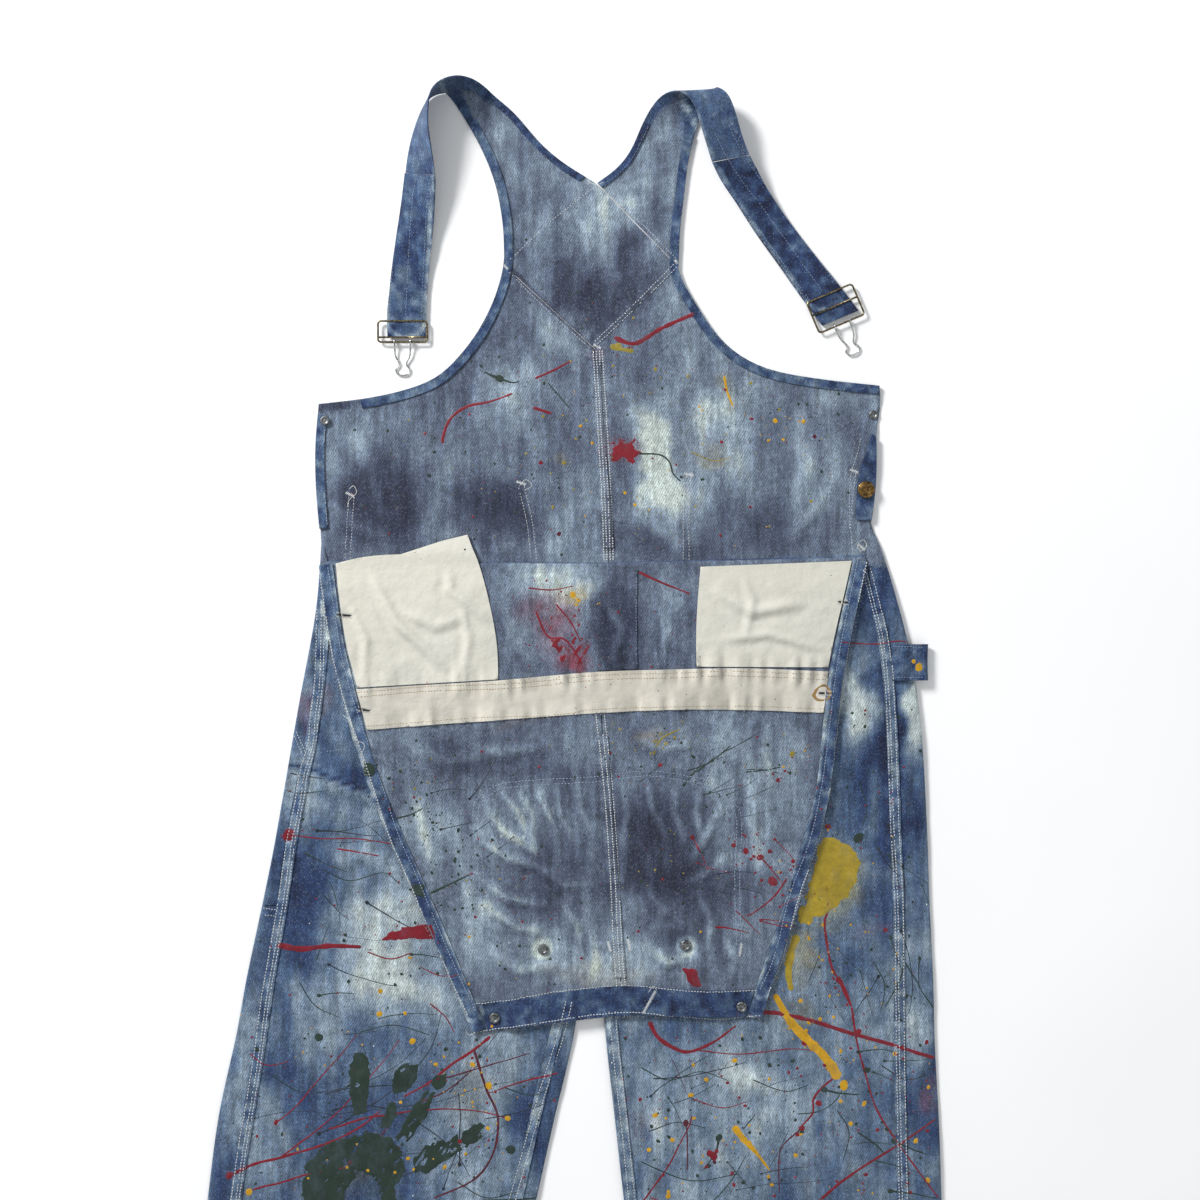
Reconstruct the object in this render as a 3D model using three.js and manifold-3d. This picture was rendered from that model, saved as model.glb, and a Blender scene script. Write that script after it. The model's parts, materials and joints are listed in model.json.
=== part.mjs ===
// Paint spattered bib overalls, laid flat on their back with the bib folded down over the legs.
// Millimetres, +Z up, +Y from the leg hems to the straps. The floor is z = 0.
// Every cloth piece is a closed wall, worked out from short tables of rows: each row joins a
// left edge point (lx, ly) to a right edge point (rx, ry) of the piece.
import * as THREE from 'three';
import Module from 'manifold-3d';

const wasm = await Module();
wasm.setup();

// Thickness of the cloth walls
const DENIM = 1.2;
const COTTON = 0.9;
const BAND = 1.0;
const STRAP = 2.4;
const SEAM_GAP = 0.4;
const LAYER_GAP = 0.4;

// Middle height of each layer of cloth, from the floor up
const BACK_MID = DENIM / 2;
const FRONT_MID = BACK_MID + DENIM + LAYER_GAP;
const BIB_POCKET_MID = FRONT_MID + DENIM / 2 + LAYER_GAP + BAND / 2;
const FLAP_MID = BIB_POCKET_MID + BAND / 2 + LAYER_GAP + DENIM / 2;
const TRIM_MID = FLAP_MID + DENIM / 2 + LAYER_GAP + BAND / 2;
const POCKET_RISE = 1.5;

// Widths of the sewn strips
const SEAM_WIDTH = 11;
const BINDING_WIDTH = 9;
const NECK_BINDING_WIDTH = 7;
const FRONT_HEM_WIDTH = 14;

// Hardware
const BUTTON_DIAMETER = 17;
const TACK_DIAMETER = 11;
const RIVET_DIAMETER = 9;
const WIRE = 2.0;
const HOOK_WIRE = 1.8;
const HOOK_LENGTH = 33;

const COLORS = {
  outerDenim: 0x60769a,
  innerDenim: 0x76849a,
  darkDenim: 0x3a507a,
  strapDenim: 0x34486e,
  cotton: 0xe2ded2,
  waistCotton: 0xeee8d4,
  brass: 0x785a32,
  steel: 0x6e7373,
  wire: 0x8a8474,
};

function cloth(color) {
  return new THREE.MeshStandardMaterial({ color, roughness: 0.92, metalness: 0 });
}

function metal(color, roughness) {
  return new THREE.MeshStandardMaterial({ color, roughness, metalness: 0.9 });
}

const MATERIALS = {
  outerDenim: cloth(COLORS.outerDenim),
  innerDenim: cloth(COLORS.innerDenim),
  darkDenim: cloth(COLORS.darkDenim),
  strapDenim: cloth(COLORS.strapDenim),
  cotton: cloth(COLORS.cotton),
  waistCotton: cloth(COLORS.waistCotton),
  brass: metal(COLORS.brass, 0.45),
  steel: metal(COLORS.steel, 0.5),
  wire: metal(COLORS.wire, 0.35),
};

const group = new THREE.Group();

function addPiece(name, geometry, material) {
  const mesh = new THREE.Mesh(geometry, material);
  mesh.name = name;
  group.add(mesh);
}

// Tables

function table(columns, rows) {
  const names = columns.split(' ');
  return rows.map((row) => Object.fromEntries(names.map((name, i) => [name, row[i] ?? 0])));
}

function rowDistance(a, b) {
  const left = Math.hypot(b.lx - a.lx, b.ly - a.ly);
  const right = Math.hypot(b.rx - a.rx, b.ry - a.ry);
  return Math.max(left, right, 0.001);
}

// The slope of one column at row i, for the stretch that starts at row `from`
function slope(rows, key, i, from) {
  const stretch = (a) => (rows[a + 1][key] - rows[a][key]) / rowDistance(rows[a], rows[a + 1]);
  if (i === 0 || i === rows.length - 1 || rows[i].corner) return stretch(from);
  const before = rowDistance(rows[i - 1], rows[i]);
  const after = rowDistance(rows[i], rows[i + 1]);
  return (stretch(i - 1) * after + stretch(i) * before) / (before + after);
}

function smoothValue(rows, key, i, t) {
  const span = rowDistance(rows[i], rows[i + 1]);
  const start = slope(rows, key, i, i) * span;
  const end = slope(rows, key, i + 1, i) * span;
  const u = t * t;
  const c = u * t;
  return (2 * c - 3 * u + 1) * rows[i][key] + (c - 2 * u + t) * start
    + (3 * u - 2 * c) * rows[i + 1][key] + (c - u) * end;
}

// Puts smooth rows between the given ones, about `spacing` apart
function smoothRows(rows, spacing) {
  const keys = Object.keys(rows[0]).filter((key) => key !== 'corner');
  const result = [];
  for (let i = 0; i < rows.length - 1; i += 1) {
    const steps = Math.max(1, Math.round(rowDistance(rows[i], rows[i + 1]) / spacing));
    for (let s = 0; s < steps; s += 1) {
      result.push(Object.fromEntries(keys.map((key) => [key, smoothValue(rows, key, i, s / steps)])));
    }
  }
  result.push(rows[rows.length - 1]);
  return result;
}

// Closed walls

// Makes one closed surface of triangles, merging points that coincide
function closedSurface(points, triangles) {
  const places = new Map();
  const kept = [];
  const index = points.map((p) => {
    const key = [p.x, p.y, p.z].map((v) => Math.round(v * 1000)).join(' ');
    if (!places.has(key)) {
      places.set(key, kept.length);
      kept.push(p);
    }
    return places.get(key);
  });
  const faces = triangles.map((t) => t.map((i) => index[i]));
  const whole = faces.filter(([a, b, c]) => a !== b && b !== c && c !== a);
  let volume = 0;
  for (const [a, b, c] of whole) {
    volume += kept[a].dot(new THREE.Vector3().crossVectors(kept[b], kept[c]));
  }
  const outward = volume > 0 ? whole : whole.map(([a, b, c]) => [a, c, b]);
  const geometry = new THREE.BufferGeometry();
  const numbers = kept.flatMap((p) => [p.x, p.y, p.z]);
  geometry.setAttribute('position', new THREE.Float32BufferAttribute(numbers, 3));
  geometry.setIndex(outward.flat());
  geometry.computeVertexNormals();
  return geometry;
}

// A wall round a grid of middle points. Each grid point has a place p, a unit normal n and half
// of the wall's thickness.
function wall(grid) {
  const rows = grid.length;
  const columns = grid[0].length;
  const points = [];
  for (const sign of [1, -1]) {
    for (const row of grid) {
      for (const { p, n, half } of row) {
        points.push(p.clone().addScaledVector(n, sign * half));
      }
    }
  }
  const upper = (r, c) => r * columns + c;
  const lower = (r, c) => rows * columns + upper(r, c);
  const triangles = [];
  const quad = (a, b, c, d) => triangles.push([a, b, c], [a, c, d]);
  for (let r = 0; r < rows - 1; r += 1) {
    for (let c = 0; c < columns - 1; c += 1) {
      quad(upper(r, c), upper(r, c + 1), upper(r + 1, c + 1), upper(r + 1, c));
      quad(lower(r, c), lower(r + 1, c), lower(r + 1, c + 1), lower(r, c + 1));
    }
    quad(upper(r, 0), upper(r + 1, 0), lower(r + 1, 0), lower(r, 0));
    const last = columns - 1;
    quad(upper(r, last), lower(r, last), lower(r + 1, last), upper(r + 1, last));
  }
  for (let c = 0; c < columns - 1; c += 1) {
    quad(upper(0, c), lower(0, c), lower(0, c + 1), upper(0, c + 1));
    quad(upper(rows - 1, c), upper(rows - 1, c + 1), lower(rows - 1, c + 1), lower(rows - 1, c));
  }
  return closedSurface(points, triangles);
}

const UP = new THREE.Vector3(0, 0, 1);

// One row of a panel that lies flat: points between the two edges, at the height of the cloth
function flatRow(row, shares, heightAt, thickness) {
  return shares.map((u) => {
    const x = THREE.MathUtils.lerp(row.lx, row.rx, u);
    const y = THREE.MathUtils.lerp(row.ly, row.ry, u);
    return { p: new THREE.Vector3(x, y, heightAt(x, y)), n: UP, half: thickness / 2 };
  });
}

function evenShares(count) {
  return Array.from({ length: count + 1 }, (_, i) => i / count);
}

function flatPanel(rows, spacing, cells, heightAt, thickness) {
  const shares = evenShares(cells);
  return wall(smoothRows(rows, spacing).map((row) => flatRow(row, shares, heightAt, thickness)));
}

// Soft folds: each is a long low ridge, `turn` degrees from the X axis
const folds = (rows) => table('x y length width height turn', rows);

const BACK_FOLDS = folds([
  [-150, 395, 85, 20, 2.6, 64],
  [-60, 440, 95, 18, 2.2, 48],
  [120, 430, 110, 20, 2.4, 118],
  [215, 385, 65, 22, 3.0, 100],
  [262, 425, 45, 15, 1.8, 145],
  [-15, 380, 70, 18, 1.8, 92],
]);

const LEG_FOLDS = folds([
  [-262, -215, 95, 24, 3.6, 55],
  [-150, -260, 130, 26, 4.0, 35],
  [-90, -330, 110, 24, 3.4, 20],
  [-270, -420, 120, 26, 3.8, 70],
  [-160, -520, 140, 28, 4.2, 80],
  [-240, -640, 120, 26, 3.4, 95],
  [120, -250, 120, 24, 3.6, 110],
  [220, -300, 130, 26, 4.0, 140],
  [320, -230, 110, 22, 3.2, 85],
  [160, -430, 130, 26, 3.8, 100],
  [290, -500, 140, 28, 4.2, 75],
  [210, -640, 120, 26, 3.2, 95],
  [322, 100, 60, 16, 2.2, 70],
  [310, -40, 70, 16, 2.4, 95],
]);

const FLAP_FOLDS = folds([
  [-40, -40, 90, 30, 1.5, 60],
  [130, -20, 90, 30, 1.6, 118],
  [20, 80, 80, 30, 1.2, 85],
  [190, 90, 80, 30, 1.4, 70],
]);

function foldHeight(list, x, y) {
  let height = 0;
  for (const fold of list) {
    const turn = THREE.MathUtils.degToRad(fold.turn);
    const along = (x - fold.x) * Math.cos(turn) + (y - fold.y) * Math.sin(turn);
    const across = (y - fold.y) * Math.cos(turn) - (x - fold.x) * Math.sin(turn);
    height += fold.height * Math.exp(-((along / fold.length) ** 2) - (across / fold.width) ** 2);
  }
  return height;
}

// Over the back pockets, everything above them lies a little higher
function pocketRise(y) {
  return POCKET_RISE * THREE.MathUtils.smoothstep(y, 20, 120);
}

// Back pockets: under the back panel, on the floor

const BACK_POCKETS = {
  left: table('lx ly rx ry', [
    [-200, 366, -30, 374],
    [-206, 190, -14, 194],
    [-160, 166, -60, 168],
  ]),
  right: table('lx ly rx ry', [
    [137, 384, 303, 387],
    [131, 204, 301, 207],
    [172, 178, 262, 180],
  ]),
};

const POCKET_CLEARANCE = { outer: 42, inner: 46, ends: 38 };

// How far a point of the back panel is lifted by the pocket under it
function backLift(x, y) {
  for (const [side, rows] of Object.entries(BACK_POCKETS)) {
    const top = rows[0];
    const low = rows[rows.length - 1];
    const outer = side === 'left' ? -POCKET_CLEARANCE.outer : -POCKET_CLEARANCE.inner;
    const inner = side === 'left' ? POCKET_CLEARANCE.inner : POCKET_CLEARANCE.outer;
    const left = Math.min(top.lx, rows[1].lx) + outer;
    const right = Math.max(top.rx, rows[1].rx) + inner;
    const within = y < top.ry + POCKET_CLEARANCE.ends && y > low.ly - POCKET_CLEARANCE.ends;
    if (within && x > left && x < right) return BAND + 0.35;
  }
  return 0;
}

for (const side of ['left', 'right']) {
  const geometry = flatPanel(BACK_POCKETS[side], 400, 2, () => BAND / 2, BAND);
  addPiece(`back_pocket_${side}`, geometry, MATERIALS.outerDenim);
}

// Back: one panel a side, from the yoke to the leg hem. Below the side opening and below the
// crotch it wraps round the leg's edge to a seam on top; lw and rw are how far it wraps.

const BACK = {
  left: table('lx ly rx ry lw rw corner', [
    [-47, 592, 43.2, 509],
    [-54, 563, 43.5, 496],
    [-71, 527, 44, 478],
    [-92, 500, 45, 460],
    [-114, 478, 46, 444],
    [-149, 466, 47, 428],
    [-190, 458, 49, 411],
    [-232, 454, 50, 392, 0, 0, 1],
    [-236, 418, 53, 368],
    [-235, 368, 55, 338],
    [-231, 325, 57, 310, 0, 0, 1],
    [-230, 298, 57, 292, 9],
    [-233, 258, 55, 248, 9],
    [-251, 158, 49, 143, 18],
    [-275, 18, 43, 28, 16, 0, 1],
    [-288, -46, 38, -42, 20, 8],
    [-304, -120, 30, -127, 23, 14],
    [-314, -177, 22, -182, 25, 19],
    [-330, -246, 5, -252, 30, 19],
    [-343, -342, -15, -342, 28, 19],
    [-356, -462, -47, -472, 29, 19],
    [-371, -602, -88, -627, 30, 19],
    [-384, -738, -137, -773, 30, 19],
  ]),
  right: table('lx ly rx ry lw rw corner', [
    [43.9, 509, 127, 590],
    [44.1, 496, 130, 578],
    [44.6, 478, 145, 553],
    [45.6, 460, 167, 518],
    [46.6, 444, 196, 496],
    [47.6, 428, 233, 482],
    [49.6, 411, 284, 469],
    [51.2, 392, 328, 472, 0, 0, 1],
    [53.0, 375, 330, 450],
    [54.4, 358, 324, 426],
    [55.4, 345, 325, 393],
    [56.4, 330, 324, 360],
    [57.4, 316, 320, 335, 0, 0, 1],
    [57.9, 303, 328, 315, 0, 14],
    [57.9, 290, 337, 288, 0, 21],
    [55.6, 248, 349, 245, 0, 23],
    [53, 200, 359, 206, 0, 25],
    [49.6, 143, 368, 146, 0, 29],
    [44.6, 28, 376, 23, 0, 32, 1],
    [47, -42, 378, -47, 4, 31],
    [51, -127, 382, -127, 7, 34],
    [55, -182, 383, -182, 7, 35],
    [63, -252, 387, -252, 7, 38],
    [73, -342, 390, -342, 7, 39],
    [90, -472, 391, -472, 7, 39],
    [112, -622, 389, -617, 7, 36],
    [136, -768, 386, -752, 7, 32],
  ]),
};

const BACK_SPACING = 36;
const BACK_SHARES = [0, 0.07, 0.2, 0.34, 0.5, 0.66, 0.8, 0.93, 1];

// The points where the back panel bends round one edge of the leg, seam first
function wrapPoints(edge, inward, width, y) {
  const flat = { p: new THREE.Vector3(edge.x, edge.y, BACK_MID), n: UP, half: DENIM / 2 };
  if (width < 0.5) return [flat, flat, flat, flat];
  const seamMid = FRONT_MID + pocketRise(y);
  const radius = (seamMid - BACK_MID) / 2;
  const at = (inset, height, normal) => ({
    p: new THREE.Vector3(edge.x, edge.y, height).addScaledVector(inward, inset),
    n: normal,
    half: DENIM / 2,
  });
  const down = new THREE.Vector3(0, 0, -1);
  return [
    at(width, seamMid, down),
    at(radius, seamMid, down),
    at(0, BACK_MID + radius, inward),
    at(radius, BACK_MID, UP),
  ];
}

function backHeight(x, y) {
  const shown = THREE.MathUtils.smoothstep(y, 300, 345);
  return BACK_MID + backLift(x, y) + shown * foldHeight(BACK_FOLDS, x, y);
}

// One section of the back panel, from its left seam round under the leg to its right seam
function backSection(row) {
  const left = new THREE.Vector3(row.lx, row.ly, 0);
  const right = new THREE.Vector3(row.rx, row.ry, 0);
  const across = right.clone().sub(left).normalize();
  const start = wrapPoints(left, across, row.lw, row.ly);
  const end = wrapPoints(right, across.clone().negate(), row.rw, row.ry).reverse();
  const floor = flatRow(row, BACK_SHARES.slice(1, -1), backHeight, DENIM);
  return [...start, ...floor, ...end];
}

const backRows = {
  left: smoothRows(BACK.left, BACK_SPACING),
  right: smoothRows(BACK.right, BACK_SPACING),
};

for (const side of ['left', 'right']) {
  const geometry = wall(backRows[side].map(backSection));
  addPiece(`back_${side}`, geometry, MATERIALS.innerDenim);
}

// Shoulders and straps: ribbons whose rows also have heights, lz and rz, where they turn over

const SHOULDERS = {
  left: table('lx ly rx ry lz rz corner', [
    [43.6, 509.6, 126.7, 590.5, 0.6, 0.6],
    [-1.6, 551.2, 86, 632.2, 0.6, 0.6],
    [-46.6, 592.6, 45.7, 674, 0.6, 0.6, 1],
    [-48, 632, 12, 695, 0.6, 0.6],
    [-57, 678, -17, 721, 0.6, 0.6],
    [-69, 708, -36, 744, 0.6, 0.8],
    [-82, 732, -54, 759, 0.8, 2.5],
    [-94, 752, -73, 771, 0.8, 22],
    [-105, 765, -95, 772, 0.8, 35],
    [-115, 764, -111, 765, 0.8, 38.5],
    [-124, 758, -118, 754, 0.8, 37],
    [-130, 746, -119, 744, 0.8, 36],
    [-137, 727, -120, 725, 0.8, 34.5],
    [-142, 706, -117, 703, 1.1, 28],
    [-145, 685, -114, 678, 1.4, 20],
  ]),
  right: table('lx ly rx ry lz rz', [
    [46.4, 674.5, 127.4, 591, 0.6, 0.6],
    [63, 687, 129, 628, 0.6, 0.6],
    [75, 700, 133, 662, 0.6, 0.6],
    [84, 716, 137, 695, 0.6, 0.6],
    [92, 735, 143, 721, 1, 1],
    [100, 750, 147, 737, 3, 2],
    [109, 759, 151, 750, 9, 6],
    [118, 762, 158, 760, 16, 12],
    [128, 761, 165, 765, 22, 18],
    [137, 754, 172, 761, 25, 22],
    [143, 744, 178, 753, 26, 23.5],
    [147, 730, 184, 736, 24.5, 22.5],
    [152, 715, 188, 721, 21, 19.5],
    [160, 692, 197, 699, 15, 15],
  ]),
};

const STRAPS = {
  left: table('lx ly rx ry lz rz', [
    [-145.4, 684.1, -114, 677.5, 1.6, 20],
    [-149, 655, -115, 653, 1.6, 14],
    [-154, 622, -118, 620, 1.5, 7],
    [-158, 596, -121, 595, 1.5, 3],
    [-161, 568, -123, 568, 1.4, 1.4],
    [-164, 539, -125, 539, 1.4, 1.4],
    [-163, 521, -125, 520, 1.4, 1.4],
  ]),
  right: table('lx ly rx ry lz rz', [
    [160.2, 691.6, 197.2, 698.6, 15, 15],
    [169, 674, 206, 684, 11, 11],
    [182, 658, 216, 666, 6, 6],
    [193, 641, 226, 652, 2.5, 2.5],
    [206, 622, 239, 634, 1.4, 1.4],
    [229, 590, 262, 604, 1.4, 1.4],
    [253, 556, 287, 573, 1.4, 1.4],
    [271, 532, 307, 547, 1.4, 1.4],
  ]),
};

// The two edge points of each row of a ribbon, with the normal of the face that starts upward
function ribbonFrames(rows, spacing, thickness) {
  const lowest = thickness / 2;
  const ends = smoothRows(rows, spacing).map((row) => ({
    left: new THREE.Vector3(row.lx, row.ly, Math.max(row.lz, lowest)),
    right: new THREE.Vector3(row.rx, row.ry, Math.max(row.rz, lowest)),
  }));
  return ends.map(({ left, right }, i) => {
    const before = ends[Math.max(0, i - 1)];
    const after = ends[Math.min(ends.length - 1, i + 1)];
    const travel = after.left.clone().add(after.right).sub(before.left).sub(before.right);
    const normal = right.clone().sub(left).cross(travel).normalize();
    return { left, right, normal };
  });
}

function ribbon(frames, cells, thickness) {
  const shares = evenShares(cells);
  const grid = frames.map(({ left, right, normal }) => shares.map((u) => ({
    p: left.clone().lerp(right, u),
    n: normal,
    half: thickness / 2,
  })));
  return wall(grid);
}

const SHOULDER_SPACING = 13;
const shoulderFrames = {
  left: ribbonFrames(SHOULDERS.left, SHOULDER_SPACING, DENIM),
  right: ribbonFrames(SHOULDERS.right, SHOULDER_SPACING, DENIM),
};

for (const side of ['left', 'right']) {
  addPiece(`shoulder_${side}`, ribbon(shoulderFrames[side], 3, DENIM), MATERIALS.innerDenim);
  const frames = ribbonFrames(STRAPS[side], 18, STRAP);
  addPiece(`strap_${side}`, ribbon(frames, 2, STRAP), MATERIALS.strapDenim);
}

// Strips sewn along an edge. A rail is a list of edge points, each with the direction into the
// piece, how far one millimetre of width reaches along it, and the normal of the cloth's face.

function tangentAt(rail, i) {
  const before = rail[Math.max(0, i - 1)].edge;
  const after = rail[Math.min(rail.length - 1, i + 1)].edge;
  return after.clone().sub(before).normalize();
}

// A rail on the rows of a ribbon, so that its strip keeps to the ribbon's own surface
function railOfFrames(frames, side) {
  const rail = frames.map(({ left, right, normal }) => {
    const edge = side === 'left' ? left : right;
    const far = side === 'left' ? right : left;
    return { edge: edge.clone(), inward: far.clone().sub(edge).normalize(), normal };
  });
  return rail.map((place, i) => {
    const slant = place.inward.clone().cross(tangentAt(rail, i)).length();
    return { ...place, reach: 1 / Math.max(slant, 0.5) };
  });
}

// A rail on the edge of a flat panel, square to the edge
function railOfRows(rows, side, heightAt) {
  const rail = rows.map((row) => {
    const left = new THREE.Vector3(row.lx, row.ly, 0);
    const right = new THREE.Vector3(row.rx, row.ry, 0);
    const edge = side === 'left' ? left : right;
    const far = side === 'left' ? right : left;
    return { edge, inward: far.clone().sub(edge).normalize(), normal: UP };
  });
  const squares = rail.map(({ edge, inward, normal }, i) => {
    const square = tangentAt(rail, i).cross(normal).normalize();
    if (square.dot(inward) < 0) square.negate();
    return { edge: edge.clone(), inward: square, normal, reach: 1 };
  });
  squares.forEach((place) => { place.edge.z = heightAt(place.edge.x, place.edge.y); });
  return squares;
}

// A strip from `from` to `to` inward of the rail, its middle `raise` above the rail's surface
function strip(rail, from, to, raise, thickness) {
  const grid = rail.map(({ edge, inward, normal, reach }) => [from, to].map((distance) => ({
    p: edge.clone().addScaledVector(inward, distance * reach).addScaledVector(normal, raise),
    n: normal,
    half: thickness / 2,
  })));
  return wall(grid);
}

const THIN = 0.8;
const ON_DENIM = DENIM / 2 + LAYER_GAP + THIN / 2;
const ON_BACK = ON_DENIM + 0.25;
const EDGE_INSET = 0.2;

// Bindings on the armhole and neck edges. They end where the strap twists or rolls.
const TWIST_X = -62;
const ROLL_Y = 742;
const YOKE_TIP_Y = 674.5;
const ARMHOLE_END_Y = { left: 455, right: 470 };
const boundShoulder = {
  left: shoulderFrames.left.filter(({ right }) => right.x > TWIST_X && right.y > YOKE_TIP_Y),
  right: shoulderFrames.right.filter(({ left, right }, i) => i < 12 && right.y < ROLL_Y && left.x > 0),
};
for (const side of ['left', 'right']) {
  const outer = side;
  const inner = side === 'left' ? 'right' : 'left';
  const shoulder = railOfFrames(boundShoulder[side], outer).reverse();
  const edgeY = side === 'left' ? 'ly' : 'ry';
  const upper = backRows[side].filter((row) => row[edgeY] > ARMHOLE_END_Y[side]);
  const lower = railOfRows(upper, outer, backHeight);
  const armhole = strip([...shoulder, ...lower], EDGE_INSET, BINDING_WIDTH, ON_BACK, THIN);
  addPiece(`armhole_binding_${side}`, armhole, MATERIALS.darkDenim);
  const neckRail = railOfFrames(boundShoulder[side], inner);
  const neck = strip(neckRail, EDGE_INSET, NECK_BINDING_WIDTH, ON_DENIM, THIN);
  addPiece(`neck_binding_${side}`, neck, MATERIALS.darkDenim);
}

// Side edges of the back: a turned hem on the left, a button stand folded over on the right

const SIDE_HEM = { top: 443, bottom: 329, width: 9 };
const ROWS_PAST_HEM = 12;
const sideHemRows = backRows.left
  .filter(({ ly }, i) => i > 6 && ly < SIDE_HEM.top + ROWS_PAST_HEM && ly > SIDE_HEM.bottom - 5)
  .map((row) => ({ ...row, ly: THREE.MathUtils.clamp(row.ly, SIDE_HEM.bottom, SIDE_HEM.top) }));
const sideHemRail = railOfRows(sideHemRows, 'left', backHeight);
const sideHem = strip(sideHemRail, EDGE_INSET, SIDE_HEM.width, ON_BACK, THIN);
addPiece('side_hem_left', sideHem, MATERIALS.darkDenim);

const BUTTON_STAND = table('lx ly rx ry', [
  [320, 424, 324.5, 420],
  [317, 413, 324.8, 412],
  [312, 400, 324.8, 400],
  [307, 385, 324.8, 386],
  [305, 370, 324, 368],
  [304.5, 352, 321.5, 350],
  [304.5, 338, 319.5, 338],
]);
const STAND_RAISE = DENIM + LAYER_GAP + 0.2;
const standHeight = (x, y) => backHeight(x, y) + STAND_RAISE;
addPiece('button_stand_right', flatPanel(BUTTON_STAND, 30, 1, standHeight, DENIM), MATERIALS.darkDenim);

// Centre back seam: a flat felled band from the yoke down to the fold
const BACK_SEAM_ROWS = { top: 506, bottom: 303 };
const backSeamRows = backRows.left
  .filter(({ ry }) => ry < BACK_SEAM_ROWS.top && ry > BACK_SEAM_ROWS.bottom)
  .map(({ rx, ry }) => ({ lx: rx - 4.7, ly: ry, rx: rx + 5.5, ry }));
const backSeamHeight = (x, y) => backHeight(x, y) + ON_BACK;
addPiece('back_centre_seam', flatPanel(backSeamRows, 400, 1, backSeamHeight, THIN), MATERIALS.innerDenim);

// Front: one panel a side, from the leg hem up to the fold, then folded down to the waist seam
// with its inside up

const FOLD = {
  left: { lx: -216, ly: 297, rx: 45.8, ry: 294.5 },
  right: { lx: 46.6, ly: 294.5, rx: 311.5, ry: 303 },
};

const FLAP = {
  left: table('lx ly rx ry', [
    [-231, 292, 45.8, 291],
    [-226, 257, 46.6, 258],
    [-221, 216, 47.6, 218],
    [-210, 174, 48.6, 186],
    [-204, 150, 48.8, 166],
  ]),
  right: table('lx ly rx ry', [
    [46.6, 291, 315, 296],
    [47.6, 258, 306, 257],
    [48.6, 218, 298, 221],
    [49.4, 186, 291, 185],
    [49.6, 166, 288, 166.6],
  ]),
};

const CROTCH_Y = 28;
const FOLD_Y = 295;
const FRONT_CENTRE = { fold: 46.2, crotch: 43.6 };

function centreFront(y) {
  return THREE.MathUtils.mapLinear(y, CROTCH_Y, FOLD_Y, FRONT_CENTRE.crotch, FRONT_CENTRE.fold);
}

// The front's row that meets the back's wrapped edges at the same row
function frontRow(row, side) {
  const left = new THREE.Vector3(row.lx, row.ly, 0);
  const right = new THREE.Vector3(row.rx, row.ry, 0);
  const across = right.clone().sub(left).normalize();
  left.addScaledVector(across, row.lw + SEAM_GAP);
  right.addScaledVector(across, -row.rw - SEAM_GAP);
  if (side === 'left' && row.ry > CROTCH_Y - 1) right.x = centreFront(row.ry) - 0.2;
  if (side === 'right' && row.ly > CROTCH_Y - 1) left.x = centreFront(row.ly) + 0.4;
  return { lx: left.x, ly: left.y, rx: right.x, ry: right.y };
}

const FRONT_SHARES = [0, 0.09, 0.2, 0.32, 0.44, 0.56, 0.68, 0.8, 0.91, 1];

function seamFade(u) {
  const { smoothstep } = THREE.MathUtils;
  return smoothstep(u, 0.08, 0.22) * smoothstep(1 - u, 0.08, 0.22);
}

function frontLegRow(row) {
  return FRONT_SHARES.map((u) => {
    const x = THREE.MathUtils.lerp(row.lx, row.rx, u);
    const y = THREE.MathUtils.lerp(row.ly, row.ry, u);
    const z = FRONT_MID + pocketRise(y) + seamFade(u) * foldHeight(LEG_FOLDS, x, y);
    return { p: new THREE.Vector3(x, y, z), n: UP, half: DENIM / 2 };
  });
}

function flapHeight(x, y) {
  const fade = THREE.MathUtils.smoothstep(FOLD_Y - y, 10, 50);
  return FLAP_MID + pocketRise(y) + fade * foldHeight(FLAP_FOLDS, x, y);
}

const DOWN = new THREE.Vector3(0, 0, -1);

function flapRow(row) {
  return flatRow(row, FRONT_SHARES, flapHeight, DENIM).map((point) => ({ ...point, n: DOWN }));
}

// The rows of the roll, where the front turns back over itself
function rollRows(under, over) {
  const radius = (FLAP_MID - FRONT_MID) / 2;
  return [45, 90, 135].map((degrees) => {
    const angle = THREE.MathUtils.degToRad(degrees);
    const share = degrees / 180;
    return under.map((point, i) => {
      const p = point.p.clone().lerp(over[i].p, share);
      p.y += radius * Math.sin(angle);
      p.z = point.p.z + radius * (1 - Math.cos(angle));
      return { p, n: new THREE.Vector3(0, -Math.sin(angle), Math.cos(angle)), half: DENIM / 2 };
    });
  });
}

const frontRows = {};
for (const side of ['left', 'right']) {
  const low = side === 'left' ? 290 : 292;
  const derived = backRows[side].filter(({ ly }) => ly < low).map((row) => frontRow(row, side));
  frontRows[side] = derived;
  const leg = [FOLD[side], ...derived].reverse().map(frontLegRow);
  const flap = smoothRows(FLAP[side], 36).map(flapRow);
  const roll = rollRows(leg[leg.length - 1], flap[0]);
  addPiece(`front_${side}`, wall([...leg, ...roll, ...flap]), MATERIALS.outerDenim);
}

// Felled seams down the legs, on top of the joint of back and front

function seamRail(rows, side) {
  return railOfRows(rows, side, (x, y) => FRONT_MID + pocketRise(y));
}

function seamBand(rows, side, width) {
  const wrap = side === 'left' ? 'lw' : 'rw';
  const edge = side === 'left' ? ['lx', 'ly'] : ['rx', 'ry'];
  const moved = rows.map((row) => {
    const across = new THREE.Vector2(row.rx - row.lx, row.ry - row.ly).normalize();
    const distance = (side === 'left' ? 1 : -1) * (row[wrap] + SEAM_GAP / 2 - width / 2);
    const next = { ...row };
    next[edge[0]] += across.x * distance;
    next[edge[1]] += across.y * distance;
    return next;
  });
  return strip(seamRail(moved, side), 0, width, ON_DENIM, THIN);
}

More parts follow.
